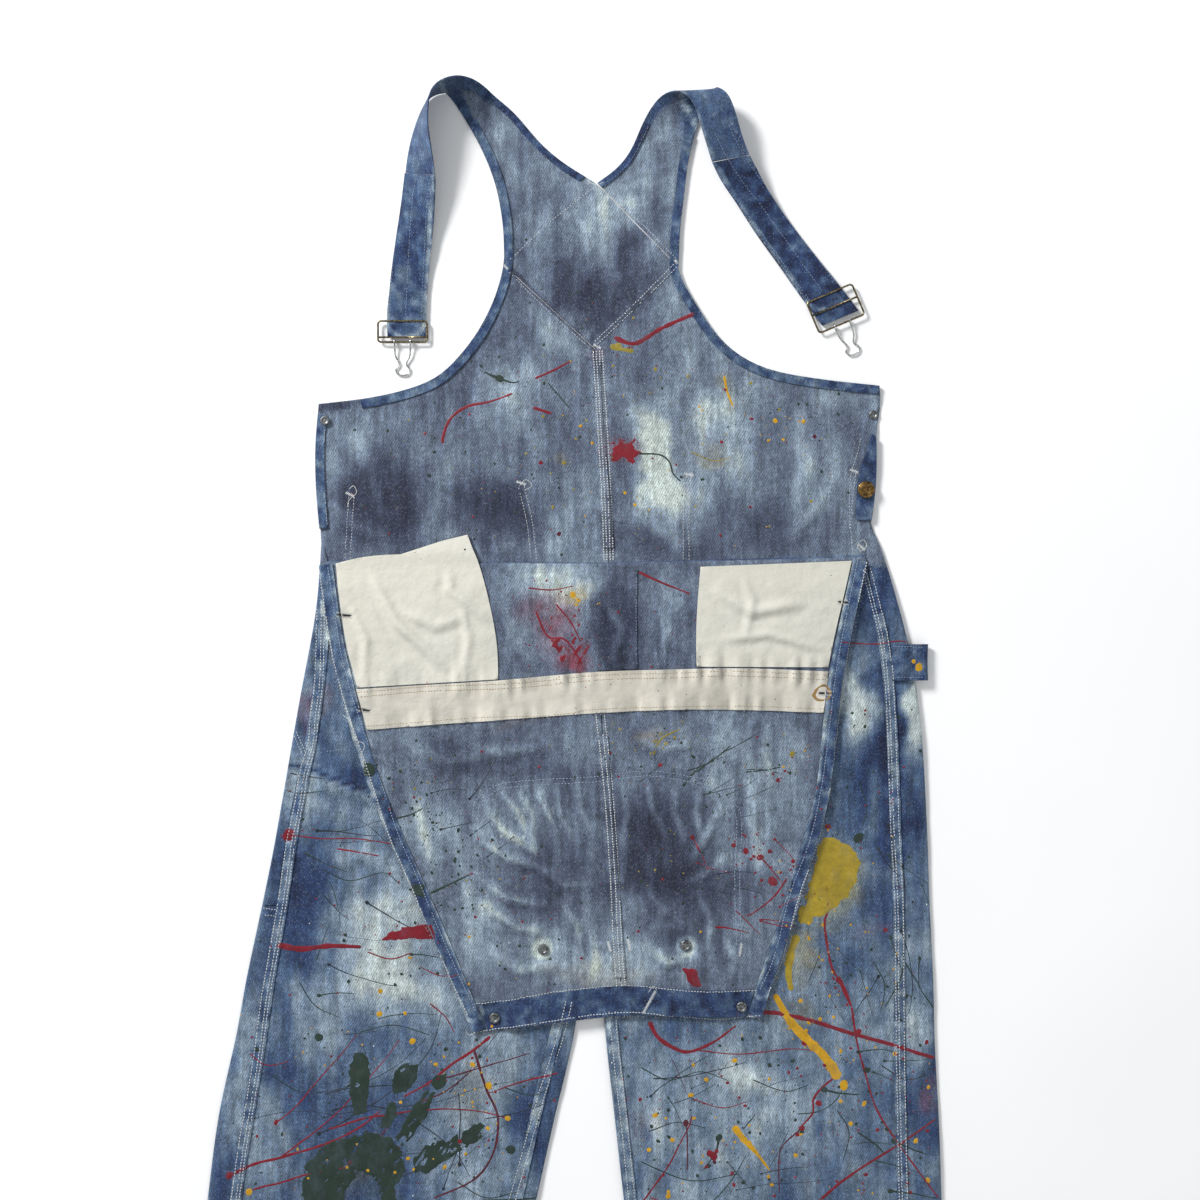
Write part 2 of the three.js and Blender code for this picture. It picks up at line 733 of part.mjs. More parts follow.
const SIDE_SEAM_TOP = 284;
const INSEAM_TOP = -95;
for (const side of ['left', 'right']) {
  const inner = side === 'left' ? 'right' : 'left';
  const outerY = side === 'left' ? 'ly' : 'ry';
  const innerY = side === 'left' ? 'ry' : 'ly';
  const sideRows = backRows[side].filter((row) => row[outerY] < SIDE_SEAM_TOP);
  addPiece(`side_seam_${side}`, seamBand(sideRows, side, SEAM_WIDTH), MATERIALS.outerDenim);
  const inseamRows = backRows[side].filter((row) => row[innerY] < INSEAM_TOP);
  addPiece(`inseam_${side}`, seamBand(inseamRows, inner, SEAM_WIDTH), MATERIALS.outerDenim);
}

// Bib: two halves with their inside up, joined by a felled seam down the centre

const BIB = {
  left: table('lx ly rx ry', [
    [-203.8, 149.4, 48.8, 165.4],
    [-197, 118, 51, 123],
    [-175, 55, 54.4, 58],
    [-151, -2, 59.9, -2],
    [-124, -62, 64.2, -62],
    [-99, -122, 69, -117],
    [-78, -173, 70.6, -155],
  ]),
  right: table('lx ly rx ry', [
    [49.6, 165.4, 287.8, 166],
    [51.8, 123, 284, 130],
    [55.2, 58, 277, 60],
    [60.7, -2, 257, -8],
    [65, -62, 240, -67],
    [69.8, -117, 220, -124],
    [71.4, -155, 210, -158],
  ]),
};

const BIB_SPACING = 30;
const bibRows = {
  left: smoothRows(BIB.left, BIB_SPACING),
  right: smoothRows(BIB.right, BIB_SPACING),
};

const trimHeight = (x, y) => flapHeight(x, y) + TRIM_MID - FLAP_MID;
const bibPocketHeight = (x, y) => flapHeight(x, y) - (FLAP_MID - BIB_POCKET_MID) - 0.1;

const BIB_POCKETS = {
  left: table('lx ly rx ry', [
    [-50, 75, 38, 82],
    [-70, 61, 41, 64],
    [-77, 45, 43, 44],
    [-73, -8, 50, -8],
    [-61, -88, 58, -88],
  ]),
  right: table('lx ly rx ry', [
    [67, 85, 160, 80],
    [67, 62, 180, 60],
    [67, 42, 190, 38],
    [71, -37, 187, -37],
    [76, -84, 190, -84],
  ]),
};

for (const side of ['left', 'right']) {
  addPiece(`bib_${side}`, flatPanel(BIB[side], BIB_SPACING, 8, flapHeight, DENIM), MATERIALS.innerDenim);
  const pocket = flatPanel(BIB_POCKETS[side], 30, 4, bibPocketHeight, BAND);
  addPiece(`bib_pocket_${side}`, pocket, MATERIALS.outerDenim);
}

// Turned hems down the sides of the folded front and the bib
for (const side of ['left', 'right']) {
  const rows = [...smoothRows(FLAP[side], 36), ...bibRows[side].slice(1)];
  const rail = railOfRows(rows, side, flapHeight);
  const hem = strip(rail, 0.2, FRONT_HEM_WIDTH, TRIM_MID - FLAP_MID + 0.1, BAND);
  addPiece(`front_hem_${side}`, hem, MATERIALS.darkDenim);
}

const BIB_SEAM_ROWS = { top: 143, bottom: -121 };
const bibSeamRows = bibRows.left
  .filter(({ ry }) => ry < BIB_SEAM_ROWS.top && ry > BIB_SEAM_ROWS.bottom)
  .map(({ rx, ry }) => ({ lx: rx - 5.2, ly: ry, rx: rx + 6, ry }));
addPiece('bib_centre_seam', flatPanel(bibSeamRows, 400, 1, trimHeight, THIN), MATERIALS.innerDenim);

// Hem along the bib's top edge, which lies lowest; its rows run across the bib
const BIB_HEM = table('lx ly rx ry', [
  [-72.5, -143.5, -62.5, -170.5],
  [0, -134, 0, -163],
  [64, -125, 70.5, -154.5],
  [140, -130, 140, -156],
  [202.5, -130.5, 194.5, -157.2],
]);
addPiece('bib_hem', flatPanel(BIB_HEM, 36, 1, trimHeight, BAND), MATERIALS.darkDenim);

// White cotton waistband facing over the waist seam; its rows run across the front
const WAISTBAND = table('lx ly rx ry', [
  [-193, 169.5, -182.5, 129],
  [-118, 174, -118, 134],
  [-52, 178, -60, 138],
  [49, 187, 49, 146],
  [121, 189, 121, 149],
  [182, 190.5, 182, 149],
  [276, 187, 271, 146],
]);
addPiece('waistband_facing', flatPanel(WAISTBAND, 34, 2, trimHeight, BAND), MATERIALS.waistCotton);

// Fly facing and the two white pocket bags on the inside of the front
const FLY_FACING = table('lx ly rx ry', [
  [43, 291, 86, 289],
  [43, 228, 85, 230],
  [48, 188, 86, 189.2],
]);
addPiece('fly_facing', flatPanel(FLY_FACING, 30, 2, trimHeight, BAND), MATERIALS.innerDenim);

const POCKET_BAGS = {
  left: table('lx ly rx ry lz', [
    [-111, 316, -83, 323, -2.8],
    [-150, 303, -78, 309, -0.2],
    [-214, 294, -71, 293],
    [-210, 257, -62, 262],
    [-204, 216, -54, 222],
    [-192, 171, -52, 179.2],
  ]),
  right: table('lx ly rx ry lz', [
    [149, 291, 299.5, 297],
    [146, 259, 290, 257],
    [144, 222, 281.5, 221],
    [145, 191.8, 275.5, 191.2],
  ]),
};

function bagRow(row) {
  const shares = evenShares(5);
  return flatRow(row, shares, (x, y) => trimHeight(x, y) + row.lz, COTTON);
}

for (const side of ['left', 'right']) {
  const rows = smoothRows(POCKET_BAGS[side], 30);
  addPiece(`pocket_bag_${side}`, wall(rows.map(bagRow)), MATERIALS.cotton);
}

// Rule pocket on the left leg, outside the side seam, and the hammer loop on the right leg

const RULE_POCKET_ROWS = { top: 96, bottom: -60 };
const rulePocketRows = backRows.left
  .filter(({ ly }) => ly < RULE_POCKET_ROWS.top && ly > RULE_POCKET_ROWS.bottom)
  .map((row) => {
    const across = new THREE.Vector2(row.rx - row.lx, row.ry - row.ly).normalize();
    const at = (distance) => [row.lx + across.x * distance, row.ly + across.y * distance];
    const [lx, ly] = at(1.6);
    const [rx, ry] = at(row.lw - SEAM_WIDTH / 2 - 0.4);
    return { lx, ly, rx, ry };
  });
const rulePocketHeight = (x, y) => FRONT_MID + pocketRise(y) + ON_DENIM;
addPiece('rule_pocket', flatPanel(rulePocketRows, 400, 1, rulePocketHeight, BAND), MATERIALS.darkDenim);

// The loop runs out from the side seam and rolls under past the leg's edge
const HAMMER_LOOP = { top: 214, bottom: 178, start: 339.5, thickness: 1.6 };
const LOOP_PATH = [
  { x: 339.5, z: 6.9 },
  { x: 352, z: 6.9 },
  { x: 366, z: 6.9 },
  { x: 373, z: 6.1 },
  { x: 375.2, z: 4.0 },
  { x: 374, z: 2.0 },
  { x: 370.5, z: 1.1 },
];

function loopRow(place, i) {
  const before = LOOP_PATH[Math.max(0, i - 1)];
  const after = LOOP_PATH[Math.min(LOOP_PATH.length - 1, i + 1)];
  const normal = new THREE.Vector3(before.z - after.z, 0, after.x - before.x).normalize();
  return [HAMMER_LOOP.top, HAMMER_LOOP.bottom].map((y) => ({
    p: new THREE.Vector3(place.x, y, place.z),
    n: normal,
    half: HAMMER_LOOP.thickness / 2,
  }));
}

addPiece('hammer_loop', wall(LOOP_PATH.map(loopRow)), MATERIALS.darkDenim);

// Buttons and rivets: turned shapes standing on the cloth

// Turns a profile of [radius, height] points, and sets it on the cloth at x, y
function turned(profile, segments, x, y, base) {
  const outline = profile.map(([radius, height]) => new THREE.Vector2(radius, height));
  const geometry = new THREE.LatheGeometry(outline, segments);
  geometry.rotateX(Math.PI / 2);
  geometry.translate(x, y, base);
  return joined([geometry]);
}

// A three.js geometry as a manifold solid, its shared vertices merged
function solidOf(geometry) {
  const position = geometry.getAttribute('position');
  const order = geometry.index ? Array.from(geometry.index.array) : [...Array(position.count).keys()];
  const places = new Map();
  const vertices = [];
  const index = order.map((i) => {
    const point = [position.getX(i), position.getY(i), position.getZ(i)];
    const key = point.map((v) => Math.round(v * 10000)).join(' ');
    if (!places.has(key)) {
      places.set(key, vertices.length / 3);
      vertices.push(...point);
    }
    return places.get(key);
  });
  const triangles = [];
  for (let i = 0; i < index.length; i += 3) {
    const [a, b, c] = index.slice(i, i + 3);
    if (a !== b && b !== c && c !== a) triangles.push(a, b, c);
  }
  const mesh = new wasm.Mesh({
    numProp: 3,
    vertProperties: new Float32Array(vertices),
    triVerts: new Uint32Array(triangles),
  });
  const solid = new wasm.Manifold(mesh);
  if (solid.volume() > 0) return solid;
  for (let i = 0; i < triangles.length; i += 3) {
    [triangles[i + 1], triangles[i + 2]] = [triangles[i + 2], triangles[i + 1]];
  }
  return new wasm.Manifold(new wasm.Mesh({
    numProp: 3,
    vertProperties: new Float32Array(vertices),
    triVerts: new Uint32Array(triangles),
  }));
}

// Joins several closed geometries into one
function joined(geometries) {
  const solid = geometries.map(solidOf).reduce((whole, next) => whole.add(next));
  const { vertProperties, triVerts } = solid.getMesh();
  const geometry = new THREE.BufferGeometry();
  geometry.setAttribute('position', new THREE.BufferAttribute(vertProperties, 3));
  geometry.setIndex(new THREE.BufferAttribute(triVerts, 1));
  geometry.computeVertexNormals();
  return geometry;
}

const STAND_OFF = 0.35;

// The side button: a domed cap on a short collar
function buttonProfile(radius) {
  return [
    [0, 0], [radius * 0.55, 0], [radius * 0.6, 1.2], [radius * 0.95, 1.6], [radius, 2.4],
    [radius * 0.88, 3.4], [radius * 0.55, 4.1], [0, 4.4],
  ];
}

// A tack's back: a flat disc with a raised ring and a sunk middle
function tackProfile(radius, height) {
  return [
    [0, 0], [radius, 0], [radius, height * 0.55], [radius * 0.84, height],
    [radius * 0.62, height], [radius * 0.5, height * 0.6], [0, height * 0.55],
  ];
}

const trimTop = (x, y) => trimHeight(x, y) + BAND / 2 + STAND_OFF;
const TACKS = table('x y', [[-56, -158], [190, -147]]);
const BIB_RIVETS = table('x y', [[-7.5, -90], [134.5, -86]]);
['left', 'right'].forEach((side, i) => {
  const tack = TACKS[i];
  const tackBack = tackProfile(TACK_DIAMETER / 2, 1.8);
  const base = trimTop(tack.x, tack.y);
  addPiece(`bib_button_${side}`, turned(tackBack, 14, tack.x, tack.y, base), MATERIALS.steel);
  const rivet = BIB_RIVETS[i];
  const rivetBack = tackProfile(RIVET_DIAMETER / 2 + 1, 1.6);
  const rivetBase = flapHeight(rivet.x, rivet.y) + DENIM / 2 + STAND_OFF + 0.15;
  addPiece(`bib_rivet_${side}`, turned(rivetBack, 14, rivet.x, rivet.y, rivetBase), MATERIALS.steel);
});

const SIDE_RIVETS = {
  left: { x: -225.5, y: 437, base: 0.75 + ON_DENIM + THIN / 2 },
  right: { x: 322, y: 443, base: 0.75 },
};
for (const [side, { x, y, base }] of Object.entries(SIDE_RIVETS)) {
  const height = backHeight(x, y) + base + STAND_OFF;
  const profile = tackProfile(RIVET_DIAMETER / 2, 1.5);
  addPiece(`side_rivet_${side}`, turned(profile, 12, x, y, height), MATERIALS.steel);
}

const SIDE_BUTTON = { x: 314, y: 368 };
const sideButtonBase = standHeight(SIDE_BUTTON.x, SIDE_BUTTON.y) + DENIM / 2 + STAND_OFF + 0.3;
const sideButtonProfile = buttonProfile(BUTTON_DIAMETER / 2);
addPiece(
  'side_button_right',
  turned(sideButtonProfile, 16, SIDE_BUTTON.x, SIDE_BUTTON.y, sideButtonBase),
  MATERIALS.brass,
);

// Strap slides and their wire hooks. Each lies in a frame of its own: local X along the bars,
// local Y back up the strap, its origin at the middle of the bar that carries the hook.

const SLIDES = {
  left: { x: -148, y: 515.3, angle: 0, bars: [4.8, 21] },
  right: { x: 290.5, y: 533.6, angle: 23, bars: [19, 33] },
};
const SLIDE_WIDTH = 49;
const SLIDE_LEVEL = 4.1;
const EYE_RADIUS = 2.2;
const EYE_OFFSET = 8;

function rod(from, to, radius) {
  const length = from.distanceTo(to);
  const geometry = new THREE.CylinderGeometry(radius, radius, length, 8);
  const turn = new THREE.Quaternion().setFromUnitVectors(
    new THREE.Vector3(0, 1, 0),
    to.clone().sub(from).normalize(),
  );
  geometry.applyQuaternion(turn);
  const middle = from.clone().add(to).multiplyScalar(0.5);
  geometry.translate(middle.x, middle.y, middle.z);
  return geometry;
}

function slideGeometry({ bars }) {
  const half = SLIDE_WIDTH / 2;
  const far = Math.max(...bars);
  const rods = [0, ...bars].map((y) => rod(
    new THREE.Vector3(-half, y, SLIDE_LEVEL),
    new THREE.Vector3(half, y, SLIDE_LEVEL),
    WIRE / 2,
  ));
  const sides = [-half, half].map((x) => rod(
    new THREE.Vector3(x, -WIRE / 2, SLIDE_LEVEL),
    new THREE.Vector3(x, far + WIRE / 2, SLIDE_LEVEL),
    WIRE / 2 + 0.15,
  ));
  return joined([...rods, ...sides]);
}

// One side of the hook's wire, from the eye on the bar out to the end of the loop
const HOOK_SIDE = table('x y z', [
  [8, -2.3, 4.1],
  [7.8, -7, 3.3],
  [7, -14, 2.3],
  [3.7, -21.5, 1.5],
  [6.9, -27, 1.3],
  [5, -31.5, 1.3],
]);

function hookGeometry() {
  const one = HOOK_SIDE.map(({ x, y, z }) => new THREE.Vector3(x, y, z));
  const other = [...one].reverse().map(({ x, y, z }) => new THREE.Vector3(-x, y, z));
  const path = new THREE.CatmullRomCurve3([...one, new THREE.Vector3(0, -HOOK_LENGTH, 1.3), ...other]);
  const section = new THREE.Shape();
  section.absarc(0, 0, HOOK_WIRE / 2, 0, Math.PI * 2);
  const wire = new THREE.ExtrudeGeometry(section, { steps: 24, curveSegments: 4, extrudePath: path });
  const eyes = [-EYE_OFFSET, EYE_OFFSET].map((x) => {
    const eye = new THREE.TorusGeometry(EYE_RADIUS, HOOK_WIRE / 2 - 0.1, 5, 12);
    eye.rotateY(Math.PI / 2);
    eye.translate(x, 0, SLIDE_LEVEL);
    return eye;
  });
  return joined([wire, ...eyes]);
}

for (const [side, slide] of Object.entries(SLIDES)) {
  for (const [name, geometry] of [['buckle', slideGeometry(slide)], ['hook', hookGeometry()]]) {
    geometry.rotateZ(THREE.MathUtils.degToRad(slide.angle));
    geometry.translate(slide.x, slide.y, 0);
    addPiece(`${name}_${side}`, geometry, MATERIALS.wire);
  }
}

export default group;
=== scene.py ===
import json
import math

import bmesh
import bpy
import numpy as np
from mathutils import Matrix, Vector
from mathutils.bvhtree import BVHTree

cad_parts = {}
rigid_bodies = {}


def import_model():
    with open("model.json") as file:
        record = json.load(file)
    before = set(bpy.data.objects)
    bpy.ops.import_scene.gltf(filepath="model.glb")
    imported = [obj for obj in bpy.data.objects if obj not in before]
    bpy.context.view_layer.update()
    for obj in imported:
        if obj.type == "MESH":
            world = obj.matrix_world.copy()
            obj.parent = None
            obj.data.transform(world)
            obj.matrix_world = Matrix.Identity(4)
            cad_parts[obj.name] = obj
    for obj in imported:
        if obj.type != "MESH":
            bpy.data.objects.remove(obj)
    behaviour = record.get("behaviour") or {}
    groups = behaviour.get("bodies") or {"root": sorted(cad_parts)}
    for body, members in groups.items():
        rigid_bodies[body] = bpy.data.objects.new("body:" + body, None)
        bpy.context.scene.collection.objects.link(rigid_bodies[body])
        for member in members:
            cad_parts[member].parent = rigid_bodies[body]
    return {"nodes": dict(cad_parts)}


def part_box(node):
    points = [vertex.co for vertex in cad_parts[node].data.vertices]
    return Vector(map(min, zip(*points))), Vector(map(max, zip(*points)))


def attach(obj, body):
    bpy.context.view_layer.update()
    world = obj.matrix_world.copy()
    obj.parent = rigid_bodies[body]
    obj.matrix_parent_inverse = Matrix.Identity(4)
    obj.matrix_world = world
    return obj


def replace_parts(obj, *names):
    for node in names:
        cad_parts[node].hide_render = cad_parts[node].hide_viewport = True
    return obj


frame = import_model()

for leftover in [o for o in bpy.data.objects if o.name in ("Cube", "Light", "Camera")]:
    bpy.data.objects.remove(leftover)
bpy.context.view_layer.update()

# Places are given on a plan in millimetres, x to the right and y down, as one looks down on
# the garment. The frame's origin is at PLAN_ORIGIN, and the camera sees PLAN_SIZE each way.
PLAN_ORIGIN = (551.0, 858.0)
PLAN_SIZE = 1200
MM = 0.001
RNG = np.random.default_rng(41)


def plan(points):
    """Plan places of points of the frame, as two arrays."""
    points = np.asarray(points, float)
    return points[:, 0] / MM + PLAN_ORIGIN[0], PLAN_ORIGIN[1] - points[:, 1] / MM


def spot(x, y, z=0.0):
    """The point of the frame, in metres, at a plan place."""
    return Vector(((x - PLAN_ORIGIN[0]) * MM, (PLAN_ORIGIN[1] - y) * MM, z))


# Smooth random fields

def smoothstep(value, low, high):
    t = np.clip((value - low) / (high - low), 0, 1)
    return t * t * (3 - 2 * t)


def fade(value, full, gone):
    """1 up to `full`, falling smoothly to 0 at `gone`."""
    return smoothstep(-value, -gone, -full)


def peak(distance, width):
    """A soft peak, 1 at distance 0."""
    return np.exp(-(distance / width) ** 2)


def lattice(ix, iy, seed):
    h = (ix * 374761393 + iy * 668265263 + seed * 144269504) & 0xFFFFFFFF
    h = ((h ^ (h >> 13)) * 1274126177) & 0xFFFFFFFF
    return ((h ^ (h >> 16)) & 0xFFFFFF) / 0xFFFFFF


def noise(x, y, seed):
    """Smooth noise from -1 to 1 on a unit lattice."""
    ix = np.floor(x).astype(np.int64)
    iy = np.floor(y).astype(np.int64)
    fx = x - ix
    fy = y - iy
    fx = fx * fx * fx * (fx * (fx * 6 - 15) + 10)
    fy = fy * fy * fy * (fy * (fy * 6 - 15) + 10)
    low = lattice(ix, iy, seed) * (1 - fx) + lattice(ix + 1, iy, seed) * fx
    high = lattice(ix, iy + 1, seed) * (1 - fx) + lattice(ix + 1, iy + 1, seed) * fx
    return 2 * (low * (1 - fy) + high * fy) - 1


def clouds(x, y, size, seed, octaves=3):
    """Layered noise, its largest lumps `size` millimetres across."""
    total = 0
    share = 1.0
    for octave in range(octaves):
        total = total + share * noise(x / size + 17.3 * octave, y / size + 5.1 * octave, seed + octave)
        size = size / 2.03
        share = share * 0.5
    return total / 1.75


# Lines on the plan

def along(x, y, line):
    """Distance from a line on the plan, the length along it, its whole length, and the side."""
    best = np.full(x.shape, 1e9)
    run = np.zeros(x.shape)
    side = np.zeros(x.shape)
    start = 0.0
    for (ax, ay), (bx, by) in zip(line[:-1], line[1:]):
        length = math.hypot(bx - ax, by - ay)
        t = np.clip(((x - ax) * (bx - ax) + (y - ay) * (by - ay)) / length ** 2, 0, 1)
        gap = np.hypot(x - ax - t * (bx - ax), y - ay - t * (by - ay))
        nearer = gap < best
        best = np.where(nearer, gap, best)
        run = np.where(nearer, start + t * length, run)
        turn = (bx - ax) * (y - ay) - (by - ay) * (x - ax)
        side = np.where(nearer, np.sign(turn), side)
        start += length
    return best, run, start, side


def eased(line, spacing):
    """A line with points every `spacing` millimetres on a smooth curve through its corners."""
    points = [np.array(p, float) for p in line]
    if len(points) == 2:
        ends = [points[0], points[1]]
        count = max(1, round(float(np.linalg.norm(ends[1] - ends[0])) / spacing))
        return [tuple(ends[0] + (ends[1] - ends[0]) * i / count) for i in range(count + 1)]
    before = [2 * points[0] - points[1]] + points[:-1]
    after = points[1:] + [2 * points[-1] - points[-2]]
    out = []
    for i in range(len(points) - 1):
        a, b = points[i], points[i + 1]
        ta = (b - before[i]) / 2
        tb = (after[i + 1] - a) / 2
        count = max(1, round(float(np.linalg.norm(b - a)) / spacing))
        for k in range(count):
            t = k / count
            out.append(tuple(
                a * (2 * t ** 3 - 3 * t ** 2 + 1) + ta * (t ** 3 - 2 * t ** 2 + t)
                + b * (3 * t ** 2 - 2 * t ** 3) + tb * (t ** 3 - t ** 2)
            ))
    out.append(tuple(points[-1]))
    return out


TROUGH_OFFSET = 1.9
TROUGH_DEPTH = 0.35


def crease(x, y, line, width, height):
    """A soft ridge along a line, highest at its middle, with a shallow trough on one side."""
    gap, run, length, side = along(x, y, line)
    reach = np.sin(np.pi * np.clip(run / length, 0, 1)) ** 0.7
    trough = peak(gap - TROUGH_OFFSET * width, width) * (side > 0)
    return height * reach * (peak(gap, width) - TROUGH_DEPTH * trough)


def pucker(x, y, line, width, height, pitch, seed):
    """Small waves across a seam, uneven in pitch and height, fading away from it."""
    gap, run, _, side = along(x, y, line)
    waves = noise(run / pitch, 0.18 * gap * side / pitch, seed)
    strength = 0.6 + 0.4 * noise(run / (7 * pitch), gap * 0, seed + 5)
    return height * strength * waves * peak(gap, width)


# Relief of the cloth beyond its solids: how far, in metres, each layer rises

BACK_CREASES = [
    # (line), width, height in millimetres
    ([(350, 430), (372, 470), (380, 520)], 9, 1.6),
    ([(432, 418), (420, 470), (436, 530)], 8, 1.3),
    ([(470, 520), (500, 545), (540, 552)], 7, 1.2),
    ([(640, 505), (660, 530), (690, 552)], 7, 1.4),
    ([(720, 430), (742, 480), (736, 540)], 10, 1.5),
    ([(790, 410), (806, 460), (800, 530)], 9, 1.6),
    ([(530, 300), (548, 330), (560, 372)], 9, 1.0),
    ([(640, 200), (652, 240), (648, 290)], 8, 1.1),
    ([(560, 190), (545, 230), (538, 262)], 7, 1.0),
    ([(500, 380), (530, 420), (540, 470)], 9, 1.0),
    ([(700, 330), (690, 372), (668, 410)], 9, 1.1),
    ([(330, 500), (352, 522), (392, 540)], 6, 1.5),
    ([(836, 470), (820, 505), (790, 540)], 7, 1.5),
]
LEG_CREASES = [
    ([(300, 770), (345, 786), (385, 800)], 8, 2.2),
    ([(300, 712), (330, 730), (352, 758)], 6, 1.4),
    ([(330, 860), (372, 852), (408, 880)], 9, 1.6),
    ([(272, 960), (300, 990), (306, 1040)], 9, 1.5),
    ([(352, 965), (395, 985), (452, 1004)], 10, 1.8),
    ([(330, 1100), (372, 1072), (430, 1060)], 11, 1.6),
    ([(262, 1080), (282, 1130), (276, 1180)], 8, 1.4),
    ([(480, 1060), (500, 1100), (494, 1160)], 9, 1.3),
    ([(300, 1240), (360, 1262), (420, 1250)], 12, 1.8),
    ([(250, 1330), (320, 1352), (392, 1340)], 12, 1.6),
    ([(330, 1440), (380, 1420), (440, 1436)], 12, 1.7),
    ([(230, 1500), (290, 1520), (350, 1506)], 10, 1.4),
    ([(868, 690), (850, 730), (846, 770)], 8, 1.5),
    ([(910, 760), (900, 800), (912, 850)], 7, 1.4),
    ([(840, 900), (870, 930), (884, 980)], 10, 1.5),
    ([(700, 1060), (742, 1082), (800, 1078)], 11, 1.6),
    ([(640, 1090), (662, 1130), (650, 1180)], 9, 1.4),
    ([(820, 1100), (850, 1140), (846, 1190)], 10, 1.4),
    ([(905, 1010), (918, 1060), (912, 1120)], 7, 1.4),
    ([(680, 1260), (750, 1280), (830, 1262)], 12, 1.8),
    ([(700, 1370), (780, 1352), (860, 1376)], 12, 1.6),
    ([(660, 1480), (730, 1500), (800, 1486)], 11, 1.6),
]
FLAP_CREASES = [
    ([(372, 575), (398, 622), (452, 672)], 5, 2.6),
    ([(404, 560), (432, 552), (440, 585)], 5, 2.4),
    ([(446, 548), (452, 590), (492, 622)], 5, 1.8),
    ([(352, 606), (368, 640), (366, 676)], 4, 1.6),
    ([(462, 600), (470, 640), (464, 676)], 4, 1.3),
    ([(398, 610), (436, 626), (470, 616)], 5, 1.4),
    ([(712, 590), (752, 612), (806, 602)], 5, 2.0),
    ([(720, 640), (768, 634), (824, 650)], 4, 1.5),
    ([(740, 575), (752, 600), (744, 640)], 4, 1.2),
    ([(604, 598), (622, 628), (612, 664)], 4, 1.8),
    ([(500, 590), (512, 630), (536, 668)], 6, 1.2),
    ([(655, 600), (668, 632), (660, 664)], 5, 1.2),
    ([(484, 802), (506, 832), (552, 858)], 3.4, 2.6),
    ([(500, 790), (520, 812), (534, 846)], 3.0, 2.3),
    ([(516, 784), (532, 812), (536, 862)], 3.2, 2.4),
    ([(536, 782), (546, 806), (560, 836)], 3.0, 2.2),
    ([(556, 780), (560, 812), (578, 846)], 3.0, 1.9),
    ([(578, 780), (580, 806), (592, 830)], 2.8, 1.5),
    ([(478, 838), (508, 856), (560, 872)], 3.4, 2.0),
    ([(474, 872), (506, 896), (556, 906)], 4.0, 2.1),
    ([(486, 904), (518, 926), (548, 930)], 3.6, 1.8),
    ([(540, 868), (566, 884), (596, 884)], 3.2, 1.6),
    ([(560, 900), (578, 924), (584, 956)], 3.6, 1.5),
    ([(622, 782), (628, 812), (622, 846)], 3.0, 1.6),
    ([(646, 776), (652, 806), (668, 838)], 3.0, 1.8),
    ([(676, 776), (674, 810), (686, 846)], 3.2, 1.7),
    ([(702, 782), (696, 812), (704, 850)], 3.2, 1.9),
    ([(722, 800), (708, 830), (690, 862)], 3.4, 1.9),
    ([(730, 850), (706, 872), (676, 884)], 3.4, 1.7),
    ([(644, 880), (662, 908), (654, 938)], 4.0, 1.7),
    ([(640, 940), (668, 960), (702, 952)], 4.4, 1.8),
    ([(700, 896), (712, 920), (706, 950)], 3.6, 1.6),
    ([(470, 742), (502, 752), (560, 744)], 4.0, 1.4),
    ([(630, 736), (660, 748), (706, 740)], 4.0, 1.3),
    ([(770, 716), (764, 752), (776, 800)], 4.0, 1.5),
    ([(400, 760), (420, 812), (432, 870)], 6, 1.6),
    ([(398, 742), (452, 760), (520, 748)], 6, 1.3),
    ([(760, 760), (752, 820), (762, 880)], 6, 1.5),
    ([(488, 950), (520, 968), (560, 962)], 5, 1.5),
    ([(592, 930), (598, 960), (590, 984)], 4, 1.3),
    ([(720, 930), (736, 958), (726, 984)], 4, 1.3),
]

# The hip pocket's opening, where the legs' wash gets a thin dark line of painted shadow
HIP_OPENING_SHADOW = [(285, 768), (293, 764), (311, 768), (327, 776), (346, 783), (372, 791)]
CENTRE_SEAM_BACK = [(598, 352), (603, 430), (607, 503), (609, 562)]
CENTRE_SEAM_BIB = [(600, 711), (608, 783), (614, 865), (618, 946), (621, 985)]
YOKE = [(597, 185), (507, 263), (597, 345), (677, 263), (597, 185)]
BIB_POCKET_LEFT = [
    (490, 946), (478, 865), (474, 809), (484, 793), (501, 783), (535, 779), (590, 776), (604, 774),
]
BIB_POCKET_RIGHT = [
    (616, 773), (651, 770), (692, 776), (716, 783), (733, 801), (741, 820), (739, 880), (741, 942),
]
WAIST_TOP = [
    (360, 690), (433, 684), (499, 682), (539, 679), (600, 673), (672, 671), (733, 669), (829, 673),
]
WAIST_BOTTOM = [
    (370, 727), (433, 722), (489, 718), (539, 717), (572, 714), (600, 710), (712, 707), (774, 708),
    (825, 710),
]
BIB_HEM_TOP = [
    (477, 1000), (512, 996), (552, 989), (586, 985), (615, 982), (643, 983), (700, 988), (757, 987),
]
BIB_HEM_BOTTOM = [
    (476, 1033), (529, 1025), (563, 1020), (598, 1015), (637, 1013), (689, 1019), (723, 1021),
    (761, 1016),
]
FLAP_EDGE_LEFT = [
    (326, 566), (329, 583), (333, 610), (338, 642), (344, 671), (357, 715), (376, 770), (396, 832),
    (416, 878), (440, 936), (462, 985), (474, 1010),
]
FLAP_EDGE_RIGHT = [
    (860, 559), (853, 590), (846, 625), (840, 657), (835, 691), (830, 732), (824, 780), (812, 838),
    (792, 893), (776, 956), (762, 988),
]
SIDE_SEAM_LEFT = [
    (322, 610), (320, 680), (316, 713), (313, 744), (305, 772), (301, 797), (295, 828), (292, 840),
    (284, 897), (274, 955), (266, 1001), (260, 1047), (251, 1104), (243, 1150), (236, 1200),
    (216, 1330), (197, 1470), (182, 1590),
]
